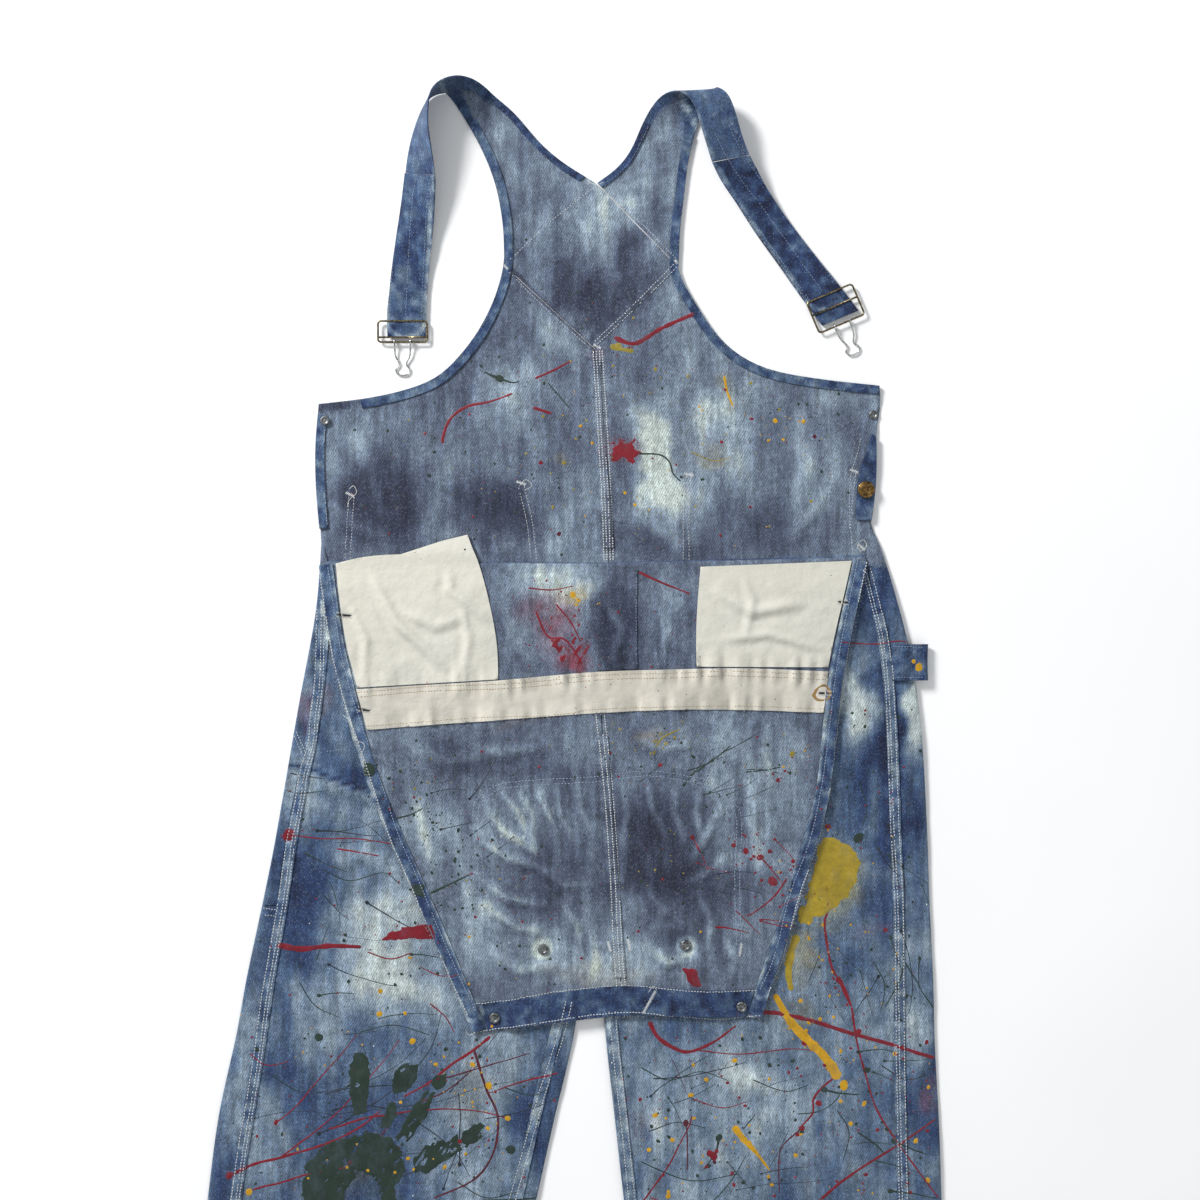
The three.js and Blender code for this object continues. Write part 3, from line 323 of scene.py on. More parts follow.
SIDE_SEAM_RIGHT = [
    (866, 570), (874, 602), (883, 640), (888, 681), (891, 742), (894, 824), (898, 905), (899, 993),
    (900, 1070), (902, 1184), (905, 1330), (908, 1470), (911, 1600),
]
STRAP_LEFT_MIDDLE = [
    (428, 104), (421, 130), (419, 150), (417, 180), (413, 203), (410, 244), (408, 276), (406, 318),
]
STRAP_RIGHT_MIDDLE = [
    (702, 96), (712, 112), (720, 134), (732, 158), (748, 182), (762, 203), (778, 226), (794, 248),
    (808, 268), (822, 290),
]
WORN_STRIPS = [
    # line, half its width in millimetres
    (FLAP_EDGE_LEFT, 7.5), (FLAP_EDGE_RIGHT, 7.5),
    (STRAP_LEFT_MIDDLE, 19.5), (STRAP_RIGHT_MIDDLE, 19.5),
]
SHOULDER_EDGES = [
    [(443, 91), (453, 93), (461, 111), (469, 129)], [(464, 85), (476, 86), (492, 96)],
    [(697, 127), (696, 133), (690, 152)], [(667, 97), (659, 100), (651, 107), (643, 123)],
]


BACK_PUCKERS = [
    # line, width, height in millimetres, pitch, seed
    (CENTRE_SEAM_BACK, 14, 0.5, 7, 13), (YOKE, 10, 0.35, 8, 14),
]
LEG_PUCKERS = [(SIDE_SEAM_LEFT, 12, 0.45, 8, 23), (SIDE_SEAM_RIGHT, 12, 0.45, 8, 24)]
FLAP_PUCKERS = [
    (WAIST_TOP, 15, 4.0, 7.0, 33), (WAIST_BOTTOM, 14, 3.2, 7.6, 34), (BIB_HEM_TOP, 8, 0.5, 8, 35),
    (CENTRE_SEAM_BIB, 10, 0.5, 7, 36), (BIB_POCKET_LEFT, 9, 0.7, 8, 37),
    (BIB_POCKET_RIGHT, 9, 0.6, 8, 38), (FLAP_EDGE_LEFT, 9, 0.5, 7, 39),
    (FLAP_EDGE_RIGHT, 9, 0.5, 7, 40),
]
RUMPLES = {
    # level, broad lumps' height and size, fine lumps' height and size, seed, creases, their gain
    "back": (1.1, 0.9, 90, 0.6, 26, 11, BACK_CREASES, 1.3, BACK_PUCKERS),
    "leg": (1.5, 1.1, 110, 0.75, 34, 21, LEG_CREASES, 1.3, LEG_PUCKERS),
    "flap": (1.3, 0.7, 60, 0.75, 19, 31, FLAP_CREASES, 1.55, FLAP_PUCKERS),
}


def all_creases(x, y, rows):
    return sum(crease(x, y, line, width, height) for line, width, height in rows)


def rumpled(x, y, layer):
    """How far, in millimetres, a layer's lumps, creases and puckers rise. They never sink."""
    level, broad, broad_size, fine, fine_size, seed, creases, gain, puckers = RUMPLES[layer]
    lift = level + broad * clouds(x, y, broad_size, seed) + fine * clouds(x, y, fine_size, seed + 1)
    lift = lift + gain * all_creases(x, y, creases)
    for row in puckers:
        lift = lift + pucker(x, y, *row)
    return np.maximum(lift, 0.0)


def back_relief(x, y):
    """The inside of the back, from the tops of the shoulders to the fold."""
    return rumpled(x, y, "back") * fade(y, 575, 600) * smoothstep(y, 120, 170)


def leg_relief(x, y):
    """The outside of the legs below the hips, over the back panel."""
    return rumpled(x, y, "leg") * smoothstep(y, 560, 620)


def flap_relief(x, y):
    """What the folded front rises above the legs that it lies on."""
    return rumpled(x, y, "flap") * smoothstep(y, 562, 590)


# Hardware lies at its CAD place, so the cloth keeps to its solid round it
HARDWARE = [
    # x, y, radius
    (495, 1016, 9), (741, 1005, 9), (543, 948, 9), (686, 945, 9), (325, 421, 8), (873, 415, 8),
    (865, 490, 12),
]


def near_hardware(x, y):
    """1 away from buttons and rivets, 0 on them."""
    free = np.ones(x.shape)
    for hx, hy, radius in HARDWARE:
        free = free * smoothstep(np.hypot(x - hx, y - hy), radius, 2.2 * radius)
    return free


# Colours of the cloth, worked out from place: a wash from deep indigo to bleached

def linear(rgb):
    """Scene colour of a screen colour given as 0 to 255."""
    value = np.asarray(rgb, float) / 255
    return np.where(value <= 0.04045, value / 12.92, ((value + 0.055) / 1.055) ** 2.4)


OUTSIDE_RAMP = [
    (18, 30, 60), (36, 55, 92), (62, 83, 112), (97, 115, 135), (135, 150, 163), (176, 187, 186),
]
INSIDE_RAMP = [
    (38, 43, 61), (56, 64, 83), (79, 89, 108), (103, 116, 133), (134, 149, 162), (176, 187, 182),
]


def washed(value, ramp):
    """Colour at each value from 0, deep indigo, to 1, bleached."""
    stops = np.linspace(0, 1, len(ramp))
    table = linear(ramp)
    value = np.clip(value, 0, 1)
    return np.stack([np.interp(value, stops, table[:, i]) for i in range(3)], axis=1)


BACK_WASH = [
    # x, y, half width, half height, turn in degrees, amount
    (600, 215, 26, 40, 10, 0.24), (560, 205, 30, 30, 0, -0.10), (640, 262, 26, 60, 0, -0.24),
    (575, 290, 30, 40, 0, -0.20), (600, 305, 34, 26, 0, -0.16), (655, 466, 20, 56, -12, 0.46),
    (704, 452, 54, 62, 0, 0.20),
    (690, 515, 34, 30, 0, 0.12), (730, 410, 30, 26, 0, 0.20), (520, 395, 36, 34, 0, 0.16),
    (560, 330, 32, 26, 0, 0.16), (440, 400, 50, 36, 0, -0.10), (805, 475, 50, 50, 0, 0.26),
    (385, 500, 40, 44, 0, -0.38), (500, 515, 44, 40, 10, -0.34),
    (650, 545, 46, 22, 0, -0.24), (440, 480, 26, 34, 0, 0.08), (790, 450, 46, 60, 0, -0.16),
    (770, 520, 60, 30, 0, -0.18), (350, 440, 24, 34, 0, 0.14), (560, 460, 30, 60, 0, -0.04),
    (620, 500, 16, 50, 0, -0.12), (700, 340, 30, 40, 30, 0.08), (470, 350, 20, 60, 20, -0.06),
    (830, 400, 34, 24, 0, 0.10), (545, 545, 60, 18, 0, 0.05), (540, 240, 30, 40, 0, 0.06),
    (655, 150, 14, 40, 20, 0.02), (495, 150, 14, 40, -20, 0.16),
]
LEG_WASH = [
    # x, y, half width, half height, turn in degrees, amount
    (330, 620, 16, 60, 0, 0.06), (318, 700, 20, 50, 0, -0.10), (352, 780, 30, 16, 12, -0.32),
    (300, 800, 12, 40, 0, 0.12), (345, 812, 40, 18, 0, 0.12), (300, 905, 26, 70, 0, -0.24),
    (370, 880, 30, 44, 20, 0.05), (330, 880, 24, 40, 0, -0.04), (390, 920, 40, 34, 0, 0.26),
    (386, 985, 50, 36, 0, 0.26), (470, 1010, 40, 40, 0, 0.16), (300, 1090, 20, 30, 0, -0.16),
    (300, 1000, 30, 40, 10, 0.13), (436, 962, 22, 30, 0, 0.04),
    (272, 1060, 18, 70, 10, -0.22), (330, 1060, 40, 26, 0, 0.05), (500, 1060, 40, 30, 0, 0.10),
    (540, 1100, 26, 64, 0, -0.20), (250, 1130, 20, 60, 0, 0.20), (470, 1120, 40, 40, 0, 0.05),
    (360, 1160, 60, 40, 0, -0.14), (225, 1180, 14, 40, 0, -0.2), (880, 600, 26, 44, 0, -0.20),
    (850, 708, 18, 34, 0, 0.40), (884, 730, 20, 50, 0, -0.42), (914, 722, 13, 56, 0, 0.56),
    (905, 810, 26, 60, 0, -0.30), (870, 800, 20, 30, 0, 0.06), (850, 800, 16, 50, 0, -0.18),
    (830, 880, 30, 50, 0, 0.22), (870, 920, 30, 60, 0, -0.06), (820, 960, 40, 40, 0, 0.10),
    (912, 1000, 22, 60, 0, 0.16), (660, 1070, 50, 60, 0, 0.10), (720, 1100, 70, 60, 0, 0.12),
    (640, 1130, 30, 60, 0, 0.14), (800, 1080, 60, 70, 0, 0.06), (860, 1140, 40, 50, 0, -0.06),
    (600, 1180, 20, 60, 0, -0.10), (924, 1120, 16, 60, 0, -0.20), (700, 1180, 60, 40, 0, 0.10),
]
FLAP_WASH = [
    # x, y, half width, half height, turn in degrees, amount
    (520, 578, 26, 16, 0, 0.05), (560, 578, 36, 20, 0, 0.26), (520, 640, 26, 36, 0, 0.04),
    (572, 640, 20, 30, 0, 0.02), (616, 630, 24, 44, 0, -0.34), (614, 588, 18, 20, 0, -0.04),
    (668, 590, 26, 20, 0, 0.16), (668, 640, 26, 26, 0, 0.04), (425, 770, 50, 40, 30, -0.16),
    (520, 760, 50, 26, 0, -0.14), (560, 740, 40, 20, 0, 0.12), (432, 826, 30, 44, 0, 0.26),
    (520, 830, 40, 40, 0, 0.16), (545, 870, 34, 38, 0, -0.14), (650, 850, 40, 50, 0, -0.34),
    (700, 900, 36, 40, 0, -0.20), (640, 730, 40, 20, 0, 0.06), (700, 740, 50, 26, 0, 0.12),
    (790, 740, 40, 30, 0, 0.10), (776, 818, 40, 56, 0, 0.05), (470, 920, 30, 44, 0, 0.20),
    (560, 950, 50, 30, 0, 0.16), (640, 965, 40, 24, 0, 0.22), (720, 960, 30, 30, 0, -0.10),
    (600, 900, 24, 40, 0, 0.02), (780, 880, 24, 40, 0, 0.04),
]


WASH_MIDDLE = 0.50
WASH_CONTRAST = 1.25
BARE_ARMHOLE = [(345, 402), (318, 404)]
YOKE_SHADE = [(510, 268), (550, 308), (594, 350)]
BUTTON_RINGS = [(543, 948), (686, 945)]
BACK_WEAR = [
    # line, strength, width, pitch, seed
    (CENTRE_SEAM_BACK, 0.10, 9, 6, 62), (YOKE, 0.12, 6, 6, 63),
]
LEG_WEAR = [(SIDE_SEAM_LEFT, 0.16, 9, 6, 72), (SIDE_SEAM_RIGHT, 0.16, 9, 6, 73)]
FLAP_WEAR = [
    (CENTRE_SEAM_BIB, 0.12, 9, 6, 82), (BIB_POCKET_LEFT, 0.14, 6, 7, 83),
    (BIB_POCKET_RIGHT, 0.14, 6, 7, 84), (FLAP_EDGE_LEFT, 0.10, 8, 6, 85),
    (FLAP_EDGE_RIGHT, 0.10, 8, 6, 86),
]
WASHES = {
    # patches of the wash, seed, creases, how much paler their ridges are (wear and painted light) and
    # darker their troughs (painted shade), wear along the seams
    "back": (BACK_WASH, 61, BACK_CREASES, 0.12, BACK_WEAR),
    "leg": (LEG_WASH, 71, LEG_CREASES, 0.10, LEG_WEAR),
    "flap": (FLAP_WASH, 81, FLAP_CREASES, 0.15, FLAP_WEAR),
}


def in_ellipse(x, y, px, py, rx, ry, turn):
    """Places measured in half widths and half heights of a turned ellipse."""
    cos = math.cos(math.radians(turn))
    sin = math.sin(math.radians(turn))
    return ((x - px) * cos + (y - py) * sin) / rx, ((y - py) * cos - (x - px) * sin) / ry


def patchy(x, y, rows, seed):
    """A mottled wash: uneven patches on soft clouds, streaked a little down the cloth."""
    warp_x = x + 18 * clouds(x, y, 42, seed + 40, 4)
    warp_y = y + 18 * clouds(x, y, 42, seed + 50, 4)
    streaks = clouds(x, y * 0.22, 9, seed + 9)
    value = WASH_MIDDLE + 0.15 * clouds(x, y, 95, seed, 5) + 0.15 * streaks
    value = value + 0.11 * clouds(warp_x, warp_y, 26, seed + 19)
    for *ellipse, amount in rows:
        u, v = in_ellipse(warp_x, warp_y, *ellipse)
        value = value + amount * np.exp(-(u * u + v * v) ** 1.6 * 0.8)
    return WASH_MIDDLE + WASH_CONTRAST * (value - WASH_MIDDLE)


def seam_wear(x, y, line, width, pitch, seed):
    """Pale and dark rubbing beside a seam, about -1 to 1."""
    gap, run = along(x, y, line)[:2]
    marks = noise(run / pitch, gap * 0, seed) + 0.5 * noise(run / (0.45 * pitch), gap * 0, seed + 1)
    return marks * peak(gap, width)


def layer_wash(x, y, layer):
    """A layer's wash with its creases painted paler on the ridges (wear and painted light) and darker
    in the troughs (painted shade), and its rubbed seams.
    """
    patches, seed, creases, crease_wear_and_shade, wear = WASHES[layer]
    # crease ridges are painted paler as wear and painted light, their troughs darker as painted shade
    value = patchy(x, y, patches, seed) + crease_wear_and_shade * all_creases(x, y, creases)
    for line, strength, *shape in wear:
        value = value + strength * seam_wear(x, y, line, *shape)
    return value


def back_wash(x, y):
    shade = 0.35 * peak(along(x, y, YOKE_SHADE)[0], 2.0)
    bare = 0.30 * fade(along(x, y, BARE_ARMHOLE)[0], 7.0, 8.5)
    return layer_wash(x, y, "back") - shade - bare


def leg_wash(x, y):
    # a thin dark line of painted shadow along the hip pocket's opening; the legs are also a little
    # darker towards the hips
    opening_shadow = 0.55 * peak(along(x, y, HIP_OPENING_SHADOW)[0], 2.2)
    return layer_wash(x, y, "leg") - opening_shadow - 0.16 * fade(y, 560, 720)


def flap_wash(x, y):
    value = layer_wash(x, y, "flap")
    for px, py in BUTTON_RINGS:
        value = value + 0.34 * peak(np.hypot(x - px, y - py) - 7.5, 3.0)
    return value


def trim_wash(x, y, base, seed, contrast=0.38):
    """Bindings, hems and straps: dark with short pale marks, and paler along worn edges."""
    marks = contrast * clouds(x, y, 8, seed) + 0.14 * clouds(x, y, 50, seed + 3)
    worn = 0
    for line, half_width in WORN_STRIPS:
        gap = along(x, y, line)[0]
        edge = smoothstep(gap, half_width - 2.6, half_width - 0.4) * (gap < half_width + 3)
        worn = worn + 0.42 * edge * (0.8 + 0.7 * clouds(x, y, 9, seed + 11, 2))
    return base + marks + worn


STAINS = {
    # colour, x, y, half width, half height, turn in degrees, strength
    "flap": [
        ((112, 44, 58), 556, 622, 26, 36, 18, 0.62), ((120, 36, 48), 572, 658, 20, 15, 0, 0.75),
        ((110, 60, 72), 530, 606, 24, 22, 0, 0.35), ((176, 152, 60), 580, 598, 16, 12, 0, 0.55),
        ((150, 132, 84), 650, 735, 20, 14, 0, 0.30), ((120, 104, 92), 520, 720, 34, 8, 0, 0.2),
        ((168, 158, 130), 600, 972, 60, 14, 0, 0.22),
    ],
    "leg": [
        ((104, 34, 52), 309, 722, 12, 34, 0, 0.50), ((104, 34, 52), 320, 700, 14, 16, 0, 0.35),
        ((150, 140, 60), 838, 888, 26, 42, 12, 0.50), ((160, 146, 70), 806, 950, 18, 34, 10, 0.45),
        ((150, 140, 80), 800, 1015, 26, 24, 30, 0.30), ((120, 60, 72), 928, 1096, 12, 26, 0, 0.45),
        ((40, 58, 52), 356, 1164, 56, 34, 0, 0.42), ((44, 60, 56), 420, 1110, 26, 26, 0, 0.25),
        ((100, 44, 60), 872, 928, 30, 8, 0, 0.20), ((120, 112, 70), 330, 1180, 50, 22, 0, 0.25),
        ((108, 44, 60), 640, 1120, 26, 18, 0, 0.15), ((150, 144, 110), 470, 1090, 26, 40, 0, 0.25),
    ],
    "back": [
        ((150, 140, 80), 712, 455, 26, 10, 0, 0.35), ((96, 52, 60), 600, 352, 14, 8, 0, 0.30),
        ((140, 132, 70), 726, 388, 10, 24, 0, 0.35), ((110, 60, 70), 622, 449, 24, 18, 0, 0.35),
        ((130, 124, 90), 566, 462, 14, 8, 0, 0.30), ((60, 74, 66), 499, 380, 12, 9, 0, 0.30),
    ],
}


def blended(first, second, share):
    """Colours going from the first to the second as the share goes from 0 to 1."""
    share = share[:, None]
    return first * (1 - share) + second * share


def stained(colours, x, y, layer):
    """Colours with the layer's soft ragged stains soaked in."""
    wet_x = x + 13 * clouds(x, y, 22, 301, 4)
    wet_y = y + 13 * clouds(x, y, 22, 311, 4)
    for rgb, *ellipse, strength in STAINS[layer]:
        u, v = in_ellipse(wet_x, wet_y, *ellipse)
        share = strength * fade(np.hypot(u, v), 0.35, 1.15)
        share = share * (0.70 + 0.6 * clouds(x, y, 7, 321, 2))
        colours = blended(colours, linear(rgb), np.clip(share, 0, 1))
    return colours


def cotton_colour(x, y, rgb, seed):
    """Off-white cotton with faint yellowed clouds."""
    tone = 1 + 0.03 * clouds(x, y, 50, seed) + 0.02 * clouds(x, y, 12, seed + 3, 2)
    yellowed = 0.5 + 0.5 * clouds(x, y, 70, seed + 7)
    warm = np.stack([tone, tone * (1 - 0.012 * yellowed), tone * (1 - 0.05 * yellowed)], axis=1)
    return linear(rgb) * warm


# Materials

def add_node(tree, kind, inputs=None, **settings):
    node = tree.nodes.new(kind)
    for name, value in settings.items():
        setattr(node, name, value)
    for name, value in (inputs or {}).items():
        if isinstance(value, bpy.types.NodeSocket):
            tree.links.new(value, node.inputs[name])
        else:
            node.inputs[name].default_value = value
    return node


def new_material(name, roughness, **settings):
    """A material with its node tree, its surface shader and the place on the object."""
    material = bpy.data.materials.new(name)
    material.use_nodes = True
    tree = material.node_tree
    shader = tree.nodes["Principled BSDF"]
    shader.inputs["Roughness"].default_value = roughness
    for socket, value in settings.items():
        shader.inputs[socket.replace("_", " ")].default_value = value
    where = add_node(tree, "ShaderNodeTexCoord").outputs["Object"]
    return material, tree, shader, where


def stretched(tree, where, scale, turn=0.0):
    """The place on the object, turned about Z and scaled on each axis."""
    mapping = add_node(tree, "ShaderNodeMapping", {
        "Vector": where, "Scale": scale, "Rotation": (0, 0, math.radians(turn)),
    })
    return mapping.outputs["Vector"]


def noise_texture(tree, vector, scale, detail=2.0, roughness=0.55):
    node = add_node(tree, "ShaderNodeTexNoise", {
        "Vector": vector, "Scale": scale, "Detail": detail, "Roughness": roughness,
    })
    return node.outputs["Fac"]


def in_range(tree, value, low, high, out_low, out_high):
    node = add_node(tree, "ShaderNodeMapRange", {
        "Value": value, "From Min": low, "From Max": high, "To Min": out_low, "To Max": out_high,
    })
    return node.outputs["Result"]


def calculate(tree, operation, first, second):
    node = add_node(tree, "ShaderNodeMath", {0: first, 1: second}, operation=operation)
    return node.outputs[0]


def scaled_colour(tree, colour, factor):
    """A colour made lighter or darker by a factor."""
    node = add_node(tree, "ShaderNodeVectorMath", {0: colour, "Scale": factor}, operation="SCALE")
    return node.outputs[0]


def bump(tree, height, distance, strength, under=None):
    node = add_node(tree, "ShaderNodeBump", {
        "Height": height, "Distance": distance, "Strength": strength,
    })
    if under is not None:
        tree.links.new(under, node.inputs["Normal"])
    return node.outputs["Normal"]


# Metres from band to band: of a wave texture with a scale of 1, and of the twill's ribs
WAVE_PITCH = 0.314
RIB_PITCH = 0.0022


def denim(name, contrast=1.0):
    """Twill: diagonal ribs, slubby yarns down the cloth and pale flecks, over the wash."""
    material, tree, shader, where = new_material(
        name, 0.88, Sheen_Weight=0.12, Sheen_Roughness=0.6, Specular_IOR_Level=0.2,
    )
    wash = add_node(tree, "ShaderNodeAttribute", attribute_name="wash").outputs["Color"]
    ribs = add_node(tree, "ShaderNodeTexWave", {
        "Vector": stretched(tree, where, (1, 1, 1), 28), "Scale": WAVE_PITCH / RIB_PITCH,
        "Distortion": 1.2, "Detail": 1.0, "Detail Scale": 2.0,
    }, wave_type="BANDS", bands_direction="X", wave_profile="SIN").outputs["Fac"]
    yarns = noise_texture(tree, stretched(tree, where, (1, 0.12, 1)), 1100, 3.0, 0.7)
    flecks = noise_texture(tree, where, 560, 3.0, 0.75)
    slubs = noise_texture(tree, stretched(tree, where, (1, 0.08, 1)), 260, 3.0, 0.6)
    mottle = noise_texture(tree, where, 130, 4.0, 0.65)
    streaks = noise_texture(tree, stretched(tree, where, (1, 0.14, 1)), 120, 4.0, 0.6)
    shade = 1.0
    for pattern, low, high, depth in (
        # pattern, the range of it that counts, how far it darkens and lightens
        (yarns, 0.3, 0.7, 0.30), (ribs, 0.0, 1.0, 0.14), (flecks, 0.3, 0.7, 0.33),
        (slubs, 0.3, 0.7, 0.22), (mottle, 0.34, 0.66, 0.21), (streaks, 0.34, 0.66, 0.17),
    ):
        tone = in_range(tree, pattern, low, high, 1 - depth * contrast, 1 + depth * contrast)
        shade = calculate(tree, "MULTIPLY", shade, tone)
    pale = add_node(tree, "ShaderNodeMix", {
        "Factor": in_range(tree, flecks, 0.56, 0.76, 0.0, 0.24 * contrast),
        "A": scaled_colour(tree, wash, shade), "B": (*linear((196, 206, 210)), 1),
    }, data_type="RGBA")
    tree.links.new(pale.outputs["Result"], shader.inputs["Base Color"])
    height = calculate(tree, "ADD", ribs, calculate(tree, "MULTIPLY", yarns, 1.4))
    fine = bump(tree, height, 0.0003, 0.6)
    crumple = noise_texture(tree, where, 85, 3.0, 0.5)
    tree.links.new(bump(tree, crumple, 0.0016, 0.5, fine), shader.inputs["Normal"])
    return material


def cotton(name, weave):
    """Plain cotton: a fine even weave with slubs, over the wash."""
    material, tree, shader, where = new_material(
        name, 0.85, Sheen_Weight=0.1, Sheen_Roughness=0.5, Specular_IOR_Level=0.2,
    )
    wash = add_node(tree, "ShaderNodeAttribute", attribute_name="wash").outputs["Color"]
    across = noise_texture(tree, stretched(tree, where, (1, 0.1, 1)), weave, 2.0, 0.6)
    down = noise_texture(tree, stretched(tree, where, (0.1, 1, 1)), weave, 2.0, 0.6)
    threads = calculate(tree, "ADD", across, down)
    shade = in_range(tree, threads, 0.7, 1.3, 0.95, 1.05)
    tree.links.new(scaled_colour(tree, wash, shade), shader.inputs["Base Color"])
    fine = bump(tree, threads, 0.0002, 0.5)
    crumple = noise_texture(tree, where, 110, 3.0, 0.5)
    tree.links.new(bump(tree, crumple, 0.0016, 0.55, fine), shader.inputs["Normal"])
    return material


# Cloth shells: each cloth piece is a fine thin shell on its solid's form

MATERIALS = {
    "outside": denim("denim_outside"),
    "inside": denim("denim_inside"),
    "trim": denim("denim_trim", 0.9),
    "pocket": cotton("cotton_pocket", 1700),
    "waist": cotton("cotton_waistband", 1300),
}


# Walls that bend round an edge of the garment
WRAPPED = ("back_left", "back_right", "hammer_loop")


WELD = 2e-6
CORNER = math.radians(140)
BEND = math.radians(65)
RIM_SHARE = 0.02


def keep_corners(bm):
    """Crease the corners of the sheet's edge, so that smoothing keeps them."""
    crease_layer = bm.verts.layers.float.new("crease_vert")
    for vert in bm.verts:
        edges = [e for e in vert.link_edges if e.is_boundary]
        if len(edges) == 2:
            a, b = (e.other_vert(vert).co - vert.co for e in edges)
            if a.angle(b, math.pi) < CORNER:
                vert[crease_layer] = 1.0


def joined_faces(bm, bend):
    """The mesh's parts, each a list of faces that meet at less than the bend."""
    seen = set()
    parts = []
    for face in bm.faces:
        if face in seen:
            continue
        seen.add(face)
        part = [face]
        for member in part:
            for other in {f for e in member.edges for f in e.link_faces} - seen:
                if member.normal.angle(other.normal, 0) < bend:
                    seen.add(other)
                    part.append(other)
        parts.append(part)
    return parts


def cad_sheet(node, thickness):
    """The larger face of a CAD wall as a mesh of quads, welded and without the wall's rims."""
    bm = bmesh.new()
    bm.from_mesh(frame["nodes"][node].data)
    bmesh.ops.remove_doubles(bm, verts=bm.verts, dist=WELD)
    for face_angle in (0.6, math.pi):
        triangles = [f for f in bm.faces if len(f.verts) == 3]
        if triangles:
            bmesh.ops.join_triangles(
                bm, faces=triangles, angle_face_threshold=face_angle, angle_shape_threshold=3.1,
            )
    wall = thickness * MM
    across = {e for e in bm.edges if abs(e.calc_length() / wall - 1) < RIM_SHARE}
    rims = [f for f in bm.faces if sum(e in across for e in f.edges) >= len(f.edges) - 2]
    bmesh.ops.delete(bm, geom=rims, context="FACES")
    bm.normal_update()
    parts = joined_faces(bm, math.pi if node in WRAPPED else BEND)
    kept = set(max(parts, key=lambda part: sum(f.calc_area() for f in part)))
    bmesh.ops.delete(bm, geom=[f for f in bm.faces if f not in kept], context="FACES")
    keep_corners(bm)
    mesh = bpy.data.meshes.new(node)
    bm.to_mesh(mesh)
    bm.free()
    return mesh


def evaluated(obj, name):
    """The object's mesh with its modifiers applied, the object itself removed."""
    graph = bpy.context.evaluated_depsgraph_get()
    mesh = bpy.data.meshes.new_from_object(obj.evaluated_get(graph))
    mesh.name = name
    bpy.data.objects.remove(obj)
    return mesh


def linked(name, data):
    """A new object of the scene with a mesh, light or camera."""
    obj = bpy.data.objects.new(name, data)
    bpy.context.scene.collection.objects.link(obj)
    return obj


def points_of(mesh):
    co = np.zeros(len(mesh.vertices) * 3)
    mesh.vertices.foreach_get("co", co)
    return co.reshape(-1, 3)


SPLITS = 6
LONGEST_EDGE = 1.4


def refined(mesh, cell_at):
    """Split every edge of the mesh that is much longer than the cell size where it lies."""
    bm = bmesh.new()
    bm.from_mesh(mesh)
    for _ in range(SPLITS):
        co = np.array([v.co for v in bm.verts])
        bm.verts.index_update()
        cells = cell_at(co)
        long = [
            e for e in bm.edges
            if e.calc_length() > LONGEST_EDGE * min(cells[e.verts[0].index], cells[e.verts[1].index])
        ]
        if not long:
            break
        bmesh.ops.subdivide_edges(bm, edges=long, cuts=1, use_grid_fill=True)
    bm.to_mesh(mesh)
    bm.free()


# Heights in millimetres that tell the layers of one wall apart: the back from the rim that
# turns up over it, and the leg from the front folded over it, which lies higher at the hips
RIM_LOW, RIM_DONE, RIM_HIGH = 0.9, 1.6, 2.4
FRONT_LOW, FRONT_COVERED, FRONT_HIGH = 3.4, 3.6, 5.0
HIP_RISE = 1.5


def on_flap(x, y):
    """1 on the folded front, fading to 0 just outside its edges."""
    left, right = (
        np.interp(y, [r[1] for r in edge[1:]], [r[0] for r in edge[1:]])
        for edge in (FLAP_EDGE_LEFT, FLAP_EDGE_RIGHT)
    )
    inside = smoothstep(x, left - 16, left - 10) * fade(x, right + 10, right + 16)
    return inside * fade(y, 1040, 1050)


def folded_over(x, y, z):
    """1 where a point of the front wall is on its folded part, 0 where it is on the leg."""
    return smoothstep(z - HIP_RISE * fade(y, 738, 838), FRONT_LOW, FRONT_HIGH) * on_flap(x, y)


def layer_rise(layer, co):
    """How far in metres each point of a layer rises above its solid."""
    x, y = plan(co)
    z = co[:, 2] / MM
    if layer == "back":
        rise = back_relief(x, y) + smoothstep(z, RIM_LOW, RIM_HIGH) * leg_relief(x, y)
    elif layer == "front":
        rise = leg_relief(x, y) + folded_over(x, y, z) * flap_relief(x, y)
    elif layer == "leg":
        rise = leg_relief(x, y)
    elif layer == "flap":
        rise = leg_relief(x, y) + flap_relief(x, y)
    else:
        rise = back_relief(x, y) * fade(z, 3, 7)
    return rise * near_hardware(x, y) * MM


# Edge lengths of the shells in metres
FINE = 0.0036
COARSE = 0.016
TRIM_CELL = 0.0022


def cell_size(layer, fine):
    """The cell size over a layer: fine where it shows, coarse where it is covered."""
    def cells(co):
        x, y = plan(co)
        z = co[:, 2] / MM
        covered = np.zeros(len(co), bool)
        if layer == "back":
            covered = (y > 600) & (z < RIM_LOW)
        if layer == "front":
            covered = (on_flap(x, y) > 0.9) & (z < FRONT_COVERED) & (y < 1020)
        return np.where(covered, COARSE, fine)
    return cells


def set_wash(mesh, colours):
    layer = mesh.attributes.new("wash", "FLOAT_COLOR", "POINT")
    rgba = np.ones((len(mesh.vertices), 4), np.float32)
    rgba[:, :3] = colours
    layer.data.foreach_set("color", rgba.ravel())


def back_colours(x, y):
    return stained(washed(back_wash(x, y), INSIDE_RAMP), x, y, "back")


def leg_colours(x, y):
    return stained(washed(leg_wash(x, y), OUTSIDE_RAMP), x, y, "leg")


def flap_colours(x, y):
    return stained(washed(flap_wash(x, y), INSIDE_RAMP), x, y, "flap")


